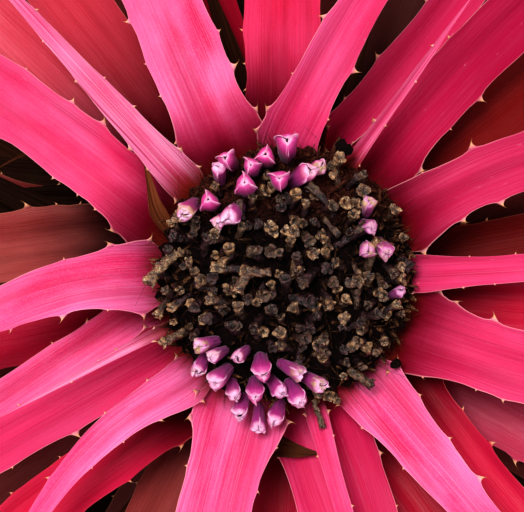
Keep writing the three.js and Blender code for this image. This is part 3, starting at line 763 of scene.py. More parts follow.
# Withered leaves below the old ones, and dry sheaths among the leaf bases. A sheath has the words of a leaf
# with the tan share of its colour in place of the tone, and where it ends there its sweep is seeded.
SKIRT_COUNT, SKIRT_LEVEL, SKIRT_LEVEL_STEP, SKIRT_FIRST_AT = 42, 8.35, 0.012, 20.0
SKIRT_HALF, SKIRT_LENGTH, SKIRT_TAPER, SKIRT_FOLD = 19.0, 246.0, 2.0, 0.12
SKIRT_ROWS, LEAST_HEIGHT = 34, 1.1
SHEATHS = (
    (157.0, -58, 2.9, 41, 0.7, 0.25, 0.8, 0.8),
    (143.0, -3, 4.0, 66, 0.8, 1.6, 0.8, 0.2),
    (14.0, 20, 4.0, 52, 0.9, 1.2, 0.8, 0.25),
    (70.0, 6, 6.0, 88, 0.9, 2.8, 0.5, 0.10),
    (76.0, -8, 7.0, 150, 1.0, 4.3, 0.4, 0.10),
    (63.0, -12, 8.0, 160, 1.0, 4.6, 0.4, 0.08),
    (166.0, 8, 6.0, 120, 1.0, 3.9, 0.5, 0.10),
    (140.0, -22, 3.6, 90, 1.0, 3.3, 0.5, 0.28, 95),
    (171.0, -14, 7.0, 150, 1.0, 4.4, 0.5, 0.03),
    (148.0, 24, 8.0, 160, 1.0, 4.8, 0.4, 0.03),
    (243.0, -6, 7.0, 130, 1.0, 4.0, 0.5, 0.20),
    (236.0, 12, 6.0, 140, 1.0, 4.5, 0.5, 0.20),
    (240.0, 66, 9.0, 57, 1.0, 1.5, 0.35, 0.22, 80),
    (322.0, 8, 6.0, 130, 1.0, 4.0, 0.5, 0.15),
    (298.0, -8, 7.0, 120, 1.0, 3.8, 0.5, 0.12),
    (100.0, 3, 6.0, 90, 1.0, 2.2, 0.5, 0.10),
)


def dry_leaf_finish():
    """Papery dead leaf: dark near the head and paler beyond, with olive clouds, a share of tan and fine
    lengthwise fibres."""
    f = Finish("dry_leaf", roughness=0.8, specular_ior_level=0.06)
    across, along = f.values("place")[:2]
    tan, half = f.values("kind")[1:3]
    aside = f.times(across, half)
    fibre = f.grain(f.vector(f.times(aside, 16.0), f.times(along, 0.3), tan), 1.0, 3.0, 0.7)
    cloud = f.grain(f.spot(), 45.0, 4.0, 0.6)
    shaded = f.mix(f.step(fibre, 0.35, 0.7), (0.004, 0.002, 0.0015), (0.014, 0.006, 0.004))
    open_to_sun = f.mix(f.step(fibre, 0.35, 0.7), (0.045, 0.022, 0.012), (0.190, 0.110, 0.062))
    colour = f.mix(f.step(along, 8.5, 15.0), shaded, open_to_sun)
    colour = f.mix(f.step(cloud, 0.55, 0.7, 0.0, 0.4), colour, (0.022, 0.016, 0.007))
    colour = f.mix(f.times(tan, f.step(fibre, 0.3, 0.75, 0.45, 1.0)), colour, (0.42, 0.115, 0.045))
    f.relief(fibre, 0.0006, 0.7)
    return f.wear(colour)


def skirt_leaf(k):
    """The withered leaves follow each other at the golden angle, each a little under the last."""
    return (
        k * GOLDEN_ANGLE + SKIRT_FIRST_AT, 9.0 * np.sin(k * 1.7), SKIRT_HALF + 3.0 * np.sin(k * 2.3),
        SKIRT_LENGTH + 30.0 * np.sin(k * 1.1), SKIRT_TAPER, SKIRT_LEVEL + SKIRT_LEVEL_STEP * k, SKIRT_FOLD,
        0.05 + 0.08 * np.sin(k * 3.1) ** 2)


def make_dry_leaves():
    """Broad withered leaves lie under all the others, and narrow dry sheaths stand between the bases. None
    comes lower than just above the ground."""
    skin = Skin()
    corner, size = cells(SKIRT_COUNT + len(SHEATHS), (0, 0, 1, 1))
    for k, words in enumerate([*map(skirt_leaf, range(SKIRT_COUNT)), *SHEATHS]):
        rng = np.random.default_rng(500 + k)
        leaf = dict(foot=0.6, thin=0.0, sweep=rng.uniform(-14, 14), waist=0.0, flare=0.0)
        leaf.update(zip(LEAF_WORDS, words))
        leaf.update(creases=rng.uniform(6, 12), phase=rng.uniform(0, 6.28), wave=rng.uniform(6, 12))
        leaf.update(ribs=1.1, groove=0.0, spines=2 * [(np.zeros(1), 0.0)])
        rings = blade_rings(leaf, Level(leaf["level"]), rows=SKIRT_ROWS)
        skin.add(*rings, rect=(*corner[k], *(corner[k] + size)))
        points, place = skin.points[-1], skin.place[-1]
        points[:, 2] = np.maximum(points[:, 2], LEAST_HEIGHT - 0.8 * place[:, 2])
    skin.put("dry_leaves", dry_leaf_finish(), "leaf_outer")


def axis_for(x, y, lean):
    """The unit vector that leans from upright, away from the head's axis."""
    out = unit(np.stack([x, y], -1))
    return together(out[..., 0] * sind(lean), out[..., 1] * sind(lean), cosd(lean))


def fresh_flowers(rows):
    """The flowers' words, and the foot and axis of each: down its axis from the mouth, which stands nearer to
    the camera than the rim does and so shows further out."""
    words = dict(zip(FLOWER_WORDS, np.array(rows, float).T))
    shown = FRESH_LENGTH * words["size"] * FRESH_SHOWN_AT
    nearer = 1.0 - (HEAD_RISE - 3.0 + shown * cosd(words["lean"])) / CAMERA_HEIGHT
    axis = leaning(words["heading"], words["lean"])
    flat = np.column_stack([words["x"], words["y"]]) * nearer[:, None] - axis[:, :2] * shown[:, None]
    return words, np.column_stack([flat, dome_height(np.hypot(*(flat - NEST_SHIFT).T)) - 0.5]), axis


def petal_finish():
    """Soft petal: dark violet towards the foot, partly painted shade where it goes into the head, magenta
    above, a pale margin, fine veins and a throat painted darker lower down as shade.
    place is the share across, the way up and 1 on the inside; kind is the paleness, the tone and the wilt."""
    f = Finish("violet_petal", roughness=0.42, specular_ior_level=0.4, sheen_weight=0.1, sheen_roughness=0.4)
    across, up, inside = f.values("place")[:3]
    pale, tone, wilt = f.values("kind")[:3]
    vein = f.grain(f.vector(f.times(across, 9.0), f.times(up, 1.2), tone), 1.0, 2.0)
    blotch = f.grain(f.spot(), 420.0, 3.0)
    # Darker towards the foot: partly the petals' own violet, partly painted shade where they go into the
    # head.
    colour = f.mix(f.step(up, 0.3, 0.95), (0.19, 0.006, 0.12), (0.62, 0.022, 0.26))
    colour = f.mix(f.times(tone, 0.55), colour, (0.33, 0.045, 0.225))
    colour = f.mix(f.step(vein, 0.5, 0.7, 0.0, 0.28), colour, (0.84, 0.12, 0.42))
    # Painted shade: the inside is painted darker lower down the throat.
    throat = f.mix(f.step(up, 0.55, 0.85), (0.45, 0.020, 0.20), (0.88, 0.18, 0.48))
    colour = f.mix(f.times(inside, 0.9), colour, throat)
    colour = f.mix(pale, colour, f.mix(tone, (0.97, 0.50, 0.72), (0.94, 0.58, 0.82)))
    spoilt = f.times(wilt, f.step(blotch, 0.45, 0.6))
    colour = f.mix(spoilt, colour, (0.50, 0.33, 0.16))
    f.relief(vein, 0.0004, 0.6)
    return f.wear(colour)


# A petal's rings and the columns of each face, how far it reaches either way from its middle in degrees, its
# thickness at the foot, and the least distance from the flower's axis.
PETAL_RINGS, PETAL_COLUMNS = 20, 9
PETAL_REACH, PETAL_THICK, LEAST_PETAL_R = 64.0, 0.34, 0.15

# Forms of an open flower and of a bud: where the shoulder is, how wide the hole, how three-cornered the
# section, and where the pale rim starts.
OPEN_FORM, BUD_FORM = np.array([0.75, 0.17, 0.70, 0.92]), np.array([0.86, 0.04, 0.30, 0.85])


def petal_rings(words, foot, axis, dull, rng):
    """Three petals to a flower. The radius widens to a shoulder and then closes in to a small hole as the
    surface domes over. Towards the shoulder the round section turns into a triangle, half over the cosine of
    the angle from a petal's middle, with its corners at the seams, where each petal's left margin lies over
    the next one's right. A bud's tip is crumpled. A dull flower has a greyer body and a weaker pale rim."""
    count = len(foot)
    corner_way = together(cosd(words["corner"]), sind(words["corner"]), 0.0)
    front = unit(np.cross(axis, -corner_way))
    side = np.cross(front, axis)
    column = {word: values[:, None, None, None] for word, values in words.items()}
    shoulder, hole, corner, pale_from = (
        a + (b - a) * column["closed"] for a, b in zip(OPEN_FORM, BUD_FORM))
    t = np.concatenate([np.linspace(0.0, 0.76, PETAL_RINGS // 2), np.linspace(0.80, 1.0, PETAL_RINGS // 2)])
    t = t[None, None, :, None]
    a = np.sin(np.linspace(-np.pi / 2, np.pi / 2, PETAL_COLUMNS))
    a = np.concatenate([a, a[::-1]])[None, None, None]
    inside = np.repeat([0.0, 1.0], PETAL_COLUMNS)[None, None, None]
    petal = np.arange(3)[None, :, None, None]
    k = np.arange(count)[:, None, None, None]
    grow = column["size"] * rng.uniform(0.95, 1.06, (count, 1, 1, 1))
    hole = hole * rng.uniform(0.6, 1.4, (count, 1, 1, 1)) * rng.uniform(0.75, 1.25, (count, 3, 1, 1))

    over = np.clip((t - shoulder) / (1.0 - shoulder), 0.0, 1.0)
    angle = petal * 2 * np.pi / 3 + np.radians(PETAL_REACH) * a + 0.35 * t * (1 - t)
    body = FRESH_R * grow * (0.70 + 0.32 * smooth(t / shoulder))
    triangle = 1.32 * 0.5 / np.cos(np.radians(60.0) * a) - 1.0
    r = body * (1.0 + corner * smooth((t - 0.25) / (shoulder - 0.25)) * triangle)
    r = r * (1.0 - (1.0 - hole) * over**1.5) * (1.0 + 0.04 * np.sin(5 * a + 4 * petal + 8 * t + k))
    lap = smooth((np.abs(a) - 0.6) / 0.4) * np.sign(a)
    thick = PETAL_THICK - 0.12 * over
    r = np.maximum(r + 0.20 * lap * (1.0 - over) - inside * thick, LEAST_PETAL_R)
    length = FRESH_LENGTH * grow * (1.0 + 0.04 * np.sin(petal * 2.3 + k))
    dome = shoulder * t / np.maximum(shoulder, t) + (1.0 - shoulder) * 0.72 * np.sin(over * 2.0)
    ruffle = (0.4 + 0.3 * column["closed"]) * np.sin((4 + 3 * column["closed"]) * a + 3 * petal + k) * over
    up = length * dome + 0.5 + over * (0.55 * lap + 0.6 * np.abs(a) ** 6 + ruffle) - 0.35 * inside * over

    def along(vector, amount):
        return vector[:, None, None, None, :] * amount[..., None]

    points = foot[:, None, None, None, :] + along(side, r * np.cos(angle)) + along(front, r * np.sin(angle))
    points = points + along(axis, up)
    tip = smooth((t - 0.8) / 0.15) * (0.26 + 0.3 * column["closed"])
    points = points + along(side, tip * ripple(points, 2.4, 61)) + along(axis, tip * ripple(points, 2.1, 62))
    rim = smooth((t - pale_from) / (0.99 - pale_from))
    seam = smooth((a - 0.86) / 0.10) * smooth((t - 0.68) / 0.12)
    edge = np.clip(np.maximum(rim, seam) + (0.1 + 0.4 * column["closed"]) * over, 0.0, 1.0)
    tone = np.clip(rng.uniform(-0.1, 0.5, (count, 1, 1, 1)) + 0.6 * column["closed"], 0.0, 1.0) + dull
    shape = points.shape[:4]
    place = together(a, t, inside + np.zeros(shape))
    wilted = column["wilt"] * smooth((t - 0.62) / 0.25)
    kind = together(edge * (0.95 - 0.5 * dull), tone, wilted + np.zeros(shape))
    merge = (count * 3, PETAL_RINGS, 2 * PETAL_COLUMNS, 3)
    return points.reshape(merge), place.reshape(merge), kind.reshape(merge)


def make_fresh_flowers():
    """One mesh for each patch, in place of its solid."""
    petal = petal_finish()
    for name, rows, seed, dull in FRESH_PATCHES:
        skin = Skin()
        skin.add(*petal_rings(*fresh_flowers(rows), dull, np.random.default_rng(seed)))
        skin.put(name, petal, "fresh_flower", name)


def bent_frames(foot, axis, aside, length, bend, t):
    """Centre line and cross vectors of bent stalks: the line leaves along the axis and bends aside with the
    square of the way along; the first cross vector stays square to the bend."""
    t = t[None, :, None]
    length, bend = length[:, None, None], bend[:, None, None]
    axis, aside = axis[:, None, :], aside[:, None, :]
    centre = foot[:, None, :] + length * (axis * t + aside * bend * t**2)
    tangent = unit(axis + aside * 2.0 * bend * t)
    side = unit(np.cross(np.broadcast_to(axis, tangent.shape), np.broadcast_to(aside, tangent.shape)))
    return centre, side, np.cross(tangent, side)


def spent_finish():
    """Withered flower: dark wrinkled tube and a crumpled tan tip with painted glints, tan on the tops of its
    folds and painted shade down in them, round a pit painted black as shade. place is the way along, the tone
    and the pit;
    kind is a seed for the mottling, the height of the folds and how bleached it is."""
    f = Finish("withered_flower", roughness=0.34, specular_ior_level=0.6)
    along, tone, pit = f.values("place")[:3]
    seed, ridge, bleached = f.values("kind")[:3]
    where = f.spot()
    mottle = f.grain(where, 620.0, 3.0, 0.55)
    painted_glint = f.grain(where, 1900.0, 2.0)
    shaft = f.mix(f.step(mottle, 0.35, 0.75), (0.006, 0.002, 0.0026), (0.084, 0.031, 0.037))
    tan = f.mix(f.step(mottle, 0.35, 0.62), (0.085, 0.034, 0.020), (0.50, 0.26, 0.115))
    tan = f.mix(f.step(seed, 0.6, 1.0, 0.0, 0.55), tan, (0.46, 0.22, 0.08))
    # Painted highlight: pale cream glints on the tips.
    tan = f.mix(f.step(painted_glint, 0.55, 0.64, 0.0, 0.9), tan, (0.90, 0.70, 0.44))
    share = f.times(f.step(along, 0.68, 1.0), f.step(tone, 0.1, 0.9, 0.04, 1.0))
    share = f.math("MAXIMUM", share, bleached)
    # Painted light and shade: the tan shows on the tops of the folds and the dark shaft colour down in them.
    colour = f.mix(f.times(share, f.step(ridge, 0.2, 0.85, 0.25, 1.0)), shaft, tan)
    # Painted shade: the deepest folds are painted nearly black.
    colour = f.mix(f.step(ridge, 0.22, 0.02, 0.0, 0.7), colour, (0.008, 0.003, 0.003))
    # Painted shade: the pit is painted black.
    colour = f.mix(pit, colour, (0.006, 0.004, 0.003))
    f.relief(f.plus(mottle, painted_glint), 0.0007, 0.9)
    return f.wear(colour)


# Withered flowers that lie where the photograph shows them, one a line: foot from the head's axis and above
# the dome, heading, lean from upright, which way and how far they bend, length, radius and how bleached.
SPENT_WORDS = ("x", "y", "up", "heading", "lean", "bow", "bend", "length", "size", "bleached")
PLACED_SPENT = (
    (-36.5, 10.0, 2.0, 224, 74, 30, 0.15, 13.5, 2.0, 0.75),
    (11.6, -41.4, 1.0, 284, 78, 40, 0.1, 9.5, 1.1, 0.45),
    (-9.0, 3.5, 6.0, 185, 66, 90, 0.9, 7.5, 1.8, 0.5),
    (-3.9, 3.2, 6.0, 184, 74, -60, 0.2, 8.0, 1.5, 0.4),
    (18.0, 39.0, 1.0, 60, 24, 0, 0.1, 9.0, 2.0, 0.8),
    (-33.0, -17.5, 1.0, 200, 60, 30, 0.2, 9.0, 1.6, 0.5),
    (24.0, -31.0, 1.0, 320, 55, 40, 0.2, 9.0, 1.6, 0.3),
)
# The places in the spiral, of which those near a fresh flower are dropped, and the meshes: which of the
# tubes, their rings and sides, and their part of the chart. The first ones are finer.
SPENT_COUNT, FINE_SPENT = 245, 150
SPENT_MESHES = (
    (slice(0, FINE_SPENT), 17, 14, (0, 0, 0.6, 1)), (slice(FINE_SPENT, None), 10, 10, (0.6, 0, 1, 1)))
FRESH_FEET = np.concatenate([fresh_flowers(rows)[1][:, :2] for _, rows, *_ in FRESH_PATCHES])
FRESH_MOUTHS = np.concatenate([np.array(rows)[:, :2] for _, rows, *_ in FRESH_PATCHES])
FRESH_SPOTS = np.concatenate([FRESH_FEET, 0.4 * FRESH_FEET + 0.6 * FRESH_MOUTHS])


def sunflower(count, reach, jitter, rng):
    """Points of a sunflower spiral, the square root of the count outwards at the golden angle, each
    jittered."""
    k = np.arange(count)
    r = reach * np.sqrt((k + 0.5) / count)
    spots = np.stack([r * cosd(k * GOLDEN_ANGLE), r * sind(k * GOLDEN_ANGLE)], -1)
    return spots + rng.normal(scale=jitter, size=spots.shape)


def nest_feet(spots, depth):
    """Feet at spots given from the middle of the nest, a depth under its dome."""
    return np.column_stack([spots + NEST_SHIFT, dome_height(np.hypot(*spots.T)) - depth])


def clear_of_fresh(spots, gap):
    """Which spots are further than a gap from the feet and tubes of all fresh flowers."""
    return np.linalg.norm(spots[:, None] - FRESH_SPOTS[None], axis=-1).min(1) > gap


# A withered tube's section goes up the wall, over the knob and back down into the pit: the way along and the
# radius at shares of that path.
TUBE_PATH = ([0.0, 0.72, 0.86, 1.0], [0.0, 0.9, 1.0, 0.86])
TUBE_RADIUS = (
    [0.0, 0.3, 0.6, 0.72, 0.80, 0.86, 0.92, 1.0], [1.0, 0.86, 0.92, 1.14, 1.26, 1.18, 0.80, 0.1])


def spent_rings(foot, axis, aside, length, bend, r0, bleached, rng, rings, sides):
    """Withered tubes: the radius swells to a knob near the end and folds back into a pit, and lobes,
    lengthwise wrinkles and crumple push the wall in and out."""
    count = len(foot)
    q = np.linspace(0.0, 1.0, rings) ** 0.8
    t = np.interp(q, *TUBE_PATH)
    profile = np.interp(q, *TUBE_RADIUS)
    pit = smooth((q - 0.93) / 0.06)
    centre, side, front = bent_frames(foot, axis, aside, length, bend, t)
    turn = turns(sides)
    phase = rng.uniform(0, 2 * np.pi, (count, 1, 1))
    lobes = rng.choice([3.0, 3.0, 4.0, 5.0], (count, 1, 1))
    twist = rng.uniform(-2.5, 2.5, (count, 1, 1)) * t[None, :, None]
    knob = smooth((t - 0.55) / 0.35)[None, :, None]
    wall = 1.0 + 0.11 * knob * np.cos(lobes * turn + phase) + 0.08 * np.cos(7 * turn + 2 * phase + 2 * twist)
    r = r0[:, None, None] * profile[None, :, None] * wall
    ring = side[:, :, None, :] * np.cos(turn)[..., None] + front[:, :, None, :] * np.sin(turn)[..., None]
    points = centre[:, :, None, :] + ring * r[..., None]
    fold = 0.75 * ripple(points, 2.6, 5) + 0.25 * ripple(points, 1.2, 6)
    points = points + ring * (0.5 * fold)[..., None]
    ruffle = 0.5 * knob * np.cos(lobes * turn + phase + 0.6)
    points = points + axis[:, None, None, :] * ruffle[..., None]
    tone = rng.uniform(0, 1, (count, 1, 1))
    shape = points.shape[:3]
    open_pit = pit[None, :, None] * rng.uniform(-0.6, 1.0, (count, 1, 1)).clip(0, 1)
    place = together(t[None, :, None], tone, open_pit + np.zeros(shape))
    ridge = 0.5 + 0.6 * fold + 0.25 * knob * np.cos(lobes * turn + phase) * np.ones(shape)
    kind = together(rng.uniform(0, 1, (count, 1, 1)), ridge, bleached[:, None, None])
    return points, place, kind


def make_spent_flowers():
    """The withered flowers lean outwards more towards the rim, and some lie right over."""
    rng = np.random.default_rng(7)
    spots = sunflower(SPENT_COUNT, HEAD_R - 4.2, 1.3, rng)
    spots = spots[clear_of_fresh(spots + NEST_SHIFT, 3.9)]
    spots = rng.permutation(spots)
    count = len(spots)
    r = np.hypot(*spots.T)
    foot = nest_feet(spots, 4.0)
    lean = 3.0 + 19.0 * (r / HEAD_R) ** 1.6 + rng.normal(scale=6.0, size=count)
    axis = unit(axis_for(spots[:, 0], spots[:, 1], lean) + rng.normal(scale=0.13, size=foot.shape))
    flop = (rng.random(count) < 0.10) & (r < HEAD_R * 0.75)
    heading = rng.uniform(0, 2 * np.pi, count)
    aside = unit(together(np.cos(heading), np.sin(heading), -0.25))
    bend = np.where(flop, rng.uniform(0.7, 1.2, count), rng.uniform(0.1, 0.55, count))
    length = rng.uniform(7.5, 13.5, count) * np.where(flop, 1.1, 1.0) * (1.0 - 0.25 * (r / HEAD_R) ** 3)
    size = rng.uniform(1.05, 1.9, count)
    placed = dict(zip(SPENT_WORDS, np.array(PLACED_SPENT).T))
    out = np.hypot(placed["x"], placed["y"])
    own = np.column_stack([placed["x"], placed["y"], dome_height(out) + placed["up"]])
    foot = np.concatenate([own, foot])
    axis = np.concatenate([leaning(placed["heading"], placed["lean"]), axis])
    across = placed["heading"] + placed["bow"]
    aside = np.concatenate([together(cosd(across), sind(across), -0.1), aside])
    bend = np.concatenate([placed["bend"], bend])
    length = np.concatenate([placed["length"], length])
    size = np.concatenate([placed["size"], size])
    bleached = np.concatenate([placed["bleached"], rng.uniform(-1.1, 0.35, count).clip(0, 1)])
    skin = Skin()
    for near, rings, sides, rect in SPENT_MESHES:
        tubes = (values[near] for values in (foot, axis, aside, length, bend, size, bleached))
        skin.add(*spent_rings(*tubes, rng, rings, sides), rect=rect)
    skin.put("spent_flowers", spent_finish(), "spent_flower")


def husk_finish():
    """Dark dry bracts, wool and fibres between the flowers: nearly black below, partly their own dark colour
    and partly painted shade down between the flowers, brown and gold at the tips. place is the way along, the
    tan share and the rusty share."""
    f = Finish("dry_husk", roughness=0.9, specular_ior_level=0.1)
    along, tan, rusty = f.values("place")[:3]
    crumb = f.grain(f.spot(), 1500.0, 4.0, 0.7)
    # Nearly black: the dark wool's own colour with painted shade between the flowers.
    colour = f.mix(f.step(crumb, 0.35, 0.75), (0.002, 0.0006, 0.0008), (0.015, 0.005, 0.005))
    tip = f.mix(f.step(crumb, 0.4, 0.65), (0.08, 0.020, 0.010), (0.46, 0.22, 0.10))
    colour = f.mix(f.times(f.step(along, 0.35, 1.0), tan), colour, tip)
    colour = f.mix(f.times(rusty, f.step(crumb, 0.35, 0.7)), colour, (0.115, 0.026, 0.016))
    f.relief(crumb, 0.0008)
    return f.wear(colour)


# The bed's sides and the rings of its dome, and the run over which its rim is ragged.
BED_SIDES, DOME_RINGS, RAGGED_RUN = 180, 70, 3.0


def bed_rings():
    """The head's dome and neck turned about the axis, with crumple over the dome like matted wool, a ragged
    rim, and a lean that grows upwards from the neck."""
    outline = np.array([
        (0.4, HEAD_NECK_Z), (HEAD_NECK_R * 0.5, HEAD_NECK_Z), (HEAD_NECK_R, HEAD_NECK_Z), (34, 79.5),
        (HEAD_R - 6, 86), (43.2, 91), (HEAD_R - 0.4, HEAD_RIM_Z - 1)])
    radii = HEAD_R * np.cos(np.linspace(0.08, np.pi / 2 - 0.008, DOME_RINGS))
    dome = np.column_stack([radii, dome_height(radii) - 1.2])
    profile = np.concatenate([outline, dome])
    turn = turns(BED_SIDES)
    r, z = profile[:, :1], profile[:, 1:]
    rings = together(r * np.cos(turn), r * np.sin(turn), z)
    rough = smooth((rings[..., 2] - 86) / 8)
    ragged = bell((r - HEAD_R) / RAGGED_RUN) * (1.6 * ripple(rings, 4.5, 13) - 1.0)
    rings[..., :2] *= 1.0 + ragged[..., None] / HEAD_R
    rings[..., :2] += NEST_SHIFT * smooth((rings[..., 2:] - 80.0) / 12.0)
    rings[..., 2] += rough * (0.9 * ripple(rings, 5.0, 11) + 0.5 * ripple(rings, 2.2, 12))
    return rings[None], np.zeros(3), np.zeros(3)


# Dark crumpled bits that lie on the leaf bases, the last two side by side: place, height and radius.
DARK_BITS = ((39.9, -28.7, 100.0, 1.7), (20.8, 46.5, 103.0, 2.4), (23.0, 45.2, 102.0, 1.8))

# Husks and hairs in the spiral and along the rim, where a part of the husks crowds on the right.
HUSKS, RIM_HUSKS, RIGHT_HUSKS = 400, 260, 120
HAIRS, RIM_HAIRS = 520, 420
# Where the nest starts to turn rusty towards the photograph's top, and over what run.
RUSTY_FROM, RUSTY_RUN = 16.0, 18.0


def rim_spots(ring, near, far, rng):
    """Points round the rim at given angles, each a random way out between two radii."""
    return np.column_stack([np.cos(ring), np.sin(ring)]) * rng.uniform(near, far, (len(ring), 1))


def husk_rings(rng):
    """Dry bracts: flat bent stalks that widen above the foot and run out in a thin tip, more tan near the
    rim."""
    ring = rng.uniform(0, 2 * np.pi, RIM_HUSKS)
    ring[:RIGHT_HUSKS] = rng.normal(0.1, 0.75, RIGHT_HUSKS)
    rim = rim_spots(ring, 37.0, 43.0, rng)
    spots = np.concatenate([sunflower(HUSKS, HEAD_R - 3.0, 1.2, rng), rim])
    spots = spots[clear_of_fresh(spots + NEST_SHIFT, 1.5)]
    count = len(spots)
    foot = nest_feet(spots, 2.0)
    at_rim = (np.hypot(*spots.T) / HEAD_R) ** 4
    axis = axis_for(spots[:, 0], spots[:, 1], 18.0 + 26.0 * at_rim)
    axis = unit(axis + rng.normal(scale=0.6, size=foot.shape))
    aside = unit(np.cross(axis, rng.normal(size=axis.shape)))
    t = np.linspace(0, 1, 5)
    length, bend = rng.uniform(2.5, 6.5, count), rng.uniform(0, 1.2, count)
    centre, side, front = bent_frames(foot, axis, aside, length, bend, t)
    turn = turns(6)[:, None]
    wide = (0.3 + 1.0 * (1 - t) ** 0.7 * (0.4 + t))[None, :, None, None]
    wide = wide * rng.uniform(0.6, 1.3, (count, 1, 1, 1))
    thin = (0.28 * (1 - t) + 0.06)[None, :, None, None]
    points = centre[:, :, None] + side[:, :, None] * np.cos(turn) * wide
    points = points + front[:, :, None] * np.sin(turn) * thin
    tan = rng.uniform(0, 0.32, (count, 1, 1)) + 0.6 * at_rim[:, None, None]
    return points, together(t[None, :, None], tan, np.zeros(points.shape[:3])), np.zeros(3)


def hair_rings(rng):
    """Bent hairs that thin towards the tip, shorter along the rim."""
    rim = rim_spots(rng.uniform(0, 2 * np.pi, RIM_HAIRS), 41.0, 44.0, rng)
    spots = np.concatenate([sunflower(HAIRS, HEAD_R - 0.5, 2.0, rng), rim])
    count = len(spots)
    foot = nest_feet(spots, 1.0)
    axis = unit(axis_for(spots[:, 0], spots[:, 1], 32.0) + rng.normal(scale=0.6, size=foot.shape))
    length = rng.uniform(3.0, 9.0, count)
    length[HAIRS:] *= 0.6
    aside = unit(rng.normal(size=axis.shape))
    t = np.linspace(0, 1, 7)
    centre, side, front = bent_frames(foot, axis, aside, length, rng.uniform(0.2, 1.2, count), t)
    turn = turns(4)[:, None]
    thin = (0.11 * (1 - 0.6 * t))[None, :, None, None]
    points = centre[:, :, None] + (side[:, :, None] * np.cos(turn) + front[:, :, None] * np.sin(turn)) * thin
    tan = rng.uniform(0.0, 0.5, (count, 1, 1))
    return points, together(0.4 + 0.6 * t[None, :, None], tan, np.zeros(points.shape[:3])), np.zeros(3)


def bit_rings():
    """Crumpled round bits, whose radius follows half a turn of a sine from end to end."""
    t = np.linspace(0.04, 0.96, 12)[None, :, None]
    turn = turns(14)
    x, y, height, size = (column[:, None, None] for column in np.array(DARK_BITS).T)
    out = size * np.sin(np.pi * t)
    points = together(x + out * np.cos(turn), y + out * np.sin(turn), height - size * np.cos(np.pi * t))
    return points + 0.5 * ripple(points, 3.0, 17)[..., None], np.zeros(3), np.zeros(3)


def make_head():
    """The bed, its husks and its hairs, which turn rusty towards the photograph's top, and the dark bits,
    which don't."""
    rng = np.random.default_rng(21)
    skin = Skin()
    skin.add(*bed_rings(), rect=(0, 0, 0.5, 1))
    skin.add(*husk_rings(rng), rect=(0.5, 0, 0.8, 1))
    skin.add(*hair_rings(rng), rect=(0.8, 0, 0.95, 1))
    skin.place = [
        np.column_stack([place[:, :2], smooth((points[:, 1] - RUSTY_FROM) / RUSTY_RUN)])
        for points, place in zip(skin.points, skin.place)]
    skin.add(*bit_rings(), rect=(0.96, 0, 1, 0.1))
    skin.put("head_husks", husk_finish(), "spent_flower", "flower_head")


def bark_finish():
    """Fibrous stem: brown, streaked lengthwise, paler along the leaf scars."""
    f = Finish("fibrous_stem", roughness=0.88, specular_ior_level=0.25)
    scar = f.values("place")[0]
    stretched = f.node("ShaderNodeMapping", {"Vector": f.spot(), "Scale": (1.0, 1.0, 0.15)}).outputs[0]
    fibre = f.grain(stretched, 900.0, 4.0, 0.65)
    colour = f.mix(f.step(fibre, 0.35, 0.7), (0.045, 0.024, 0.013), (0.22, 0.13, 0.07))
    colour = f.mix(f.times(scar, 0.6), colour, (0.34, 0.21, 0.12))
    f.relief(fibre, 0.0012)
    return f.wear(colour)


# The stem's sides and rings, and the height over which the scars' sine goes through one radian.
STEM_SIDES, STEM_RINGS, SCAR_SPACING = 144, 90, 1.9


def make_stem():
    """The stem turned about its axis, with a ridge at each ring of leaf scars and crumple all over."""
    z = np.concatenate([np.linspace(0.0, STEM_TOP_Z, STEM_RINGS), [STEM_TOP_Z, STEM_TOP_Z]])
    scar = np.clip(np.sin(z / SCAR_SPACING), 0, 1) ** 4
    r = stem_radius(z) - 0.5 + 0.4 * scar
    z = np.concatenate([[0.0, 0.0], z])[:, None]
    r = np.concatenate([[0.4, 30.0], r])
    r[-2:] = (20.0, 0.4)
    r = r[:, None]
    scar = np.concatenate([[0.0, 0.0], scar])
    turn = turns(STEM_SIDES)
    rings = together(r * np.cos(turn), r * np.sin(turn), z)
    crumple = 0.45 * ripple(rings, 7.0, 31) * (r > 30.5)
    rings[..., :2] *= (1.0 + crumple / np.maximum(r, 1.0))[..., None]
    place = together(scar[:, None], 0.0, np.zeros(rings.shape[:2]))
    skin = Skin()
    skin.add(rings[None], place[None], np.zeros(3))
    skin.put("stem_bark", bark_finish(), "stem", "stem")


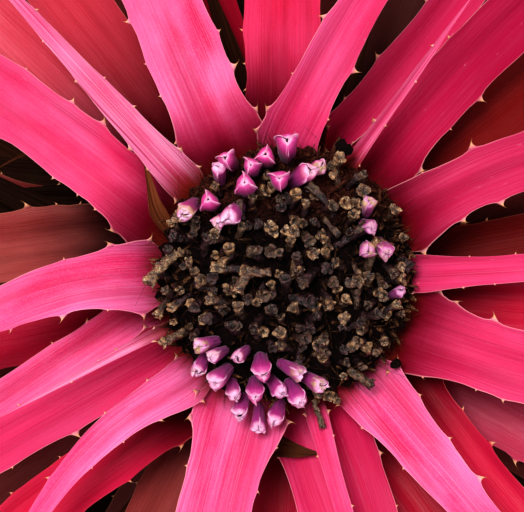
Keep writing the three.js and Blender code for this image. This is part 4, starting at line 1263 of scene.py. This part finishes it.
def make_floor():
    bpy.ops.mesh.primitive_plane_add(size=6.0, location=(0, 0, -0.0003))
    floor = bpy.context.object
    floor.name = "floor"
    f = Finish("pale_floor", roughness=0.9)
    f.shader.inputs["Base Color"].default_value = (0.52, 0.515, 0.50, 1.0)
    floor.data.materials.append(f.material)


def aim(thing, at):
    """Turns a light or camera so that its -Z looks at a point."""
    way = np.array(at) - np.array(thing.location)
    flat = np.hypot(way[0], way[1])
    turn = np.arctan2(-way[0], way[1]) if flat > 1e-9 else 0.0
    thing.rotation_euler = (np.arctan2(flat, -way[2]), 0.0, turn)


def make_light(name, location, spread, power, colour):
    """A soft even light that falls from the direction of a location, spread over an angle in degrees."""
    data = bpy.data.lights.new(name, "SUN")
    data.angle = np.radians(spread)
    data.energy = power
    data.color = colour
    lamp = bpy.data.objects.new(name, data)
    lamp.location = location
    bpy.context.scene.collection.objects.link(lamp)
    aim(lamp, (0, 0, 0.08))


def make_studio():
    """Soft light from above, a pale room and a camera that looks straight down, as the photograph was
    taken."""
    make_light("key", (-0.30, 0.36, 1.30), 22.0, 2.75, (1.0, 0.98, 0.95))
    make_light("fill", (0.8, -0.5, 1.0), 60.0, 0.65, (0.95, 0.97, 1.0))
    world = bpy.data.worlds.new("room")
    world.use_nodes = True
    world.node_tree.nodes["Background"].inputs[0].default_value = (1.0, 0.95, 0.94, 1.0)
    world.node_tree.nodes["Background"].inputs[1].default_value = 0.42
    bpy.context.scene.world = world
    bpy.context.scene.view_settings.view_transform = "Standard"
    bpy.context.scene.view_settings.look = "Medium High Contrast"

    data = bpy.data.cameras.new("camera")
    data.sensor_width = SENSOR
    data.lens = SENSOR * CAMERA_HEIGHT / (PHOTO_W * MM_PER_PIXEL)
    data.clip_start = 0.01
    camera = bpy.data.objects.new("camera", data)
    x = (PHOTO_W / 2 - HEAD_PIXEL[0]) * MM_PER_PIXEL
    y = (HEAD_PIXEL[1] - PHOTO_H / 2) * MM_PER_PIXEL
    camera.location = (x * MM, y * MM, (HEAD_RIM_Z + CAMERA_HEIGHT) * MM)
    bpy.context.scene.collection.objects.link(camera)
    bpy.context.scene.camera = camera


make_leaves()
make_dry_leaves()
make_fresh_flowers()
make_spent_flowers()
make_head()
make_stem()
make_floor()
make_studio()
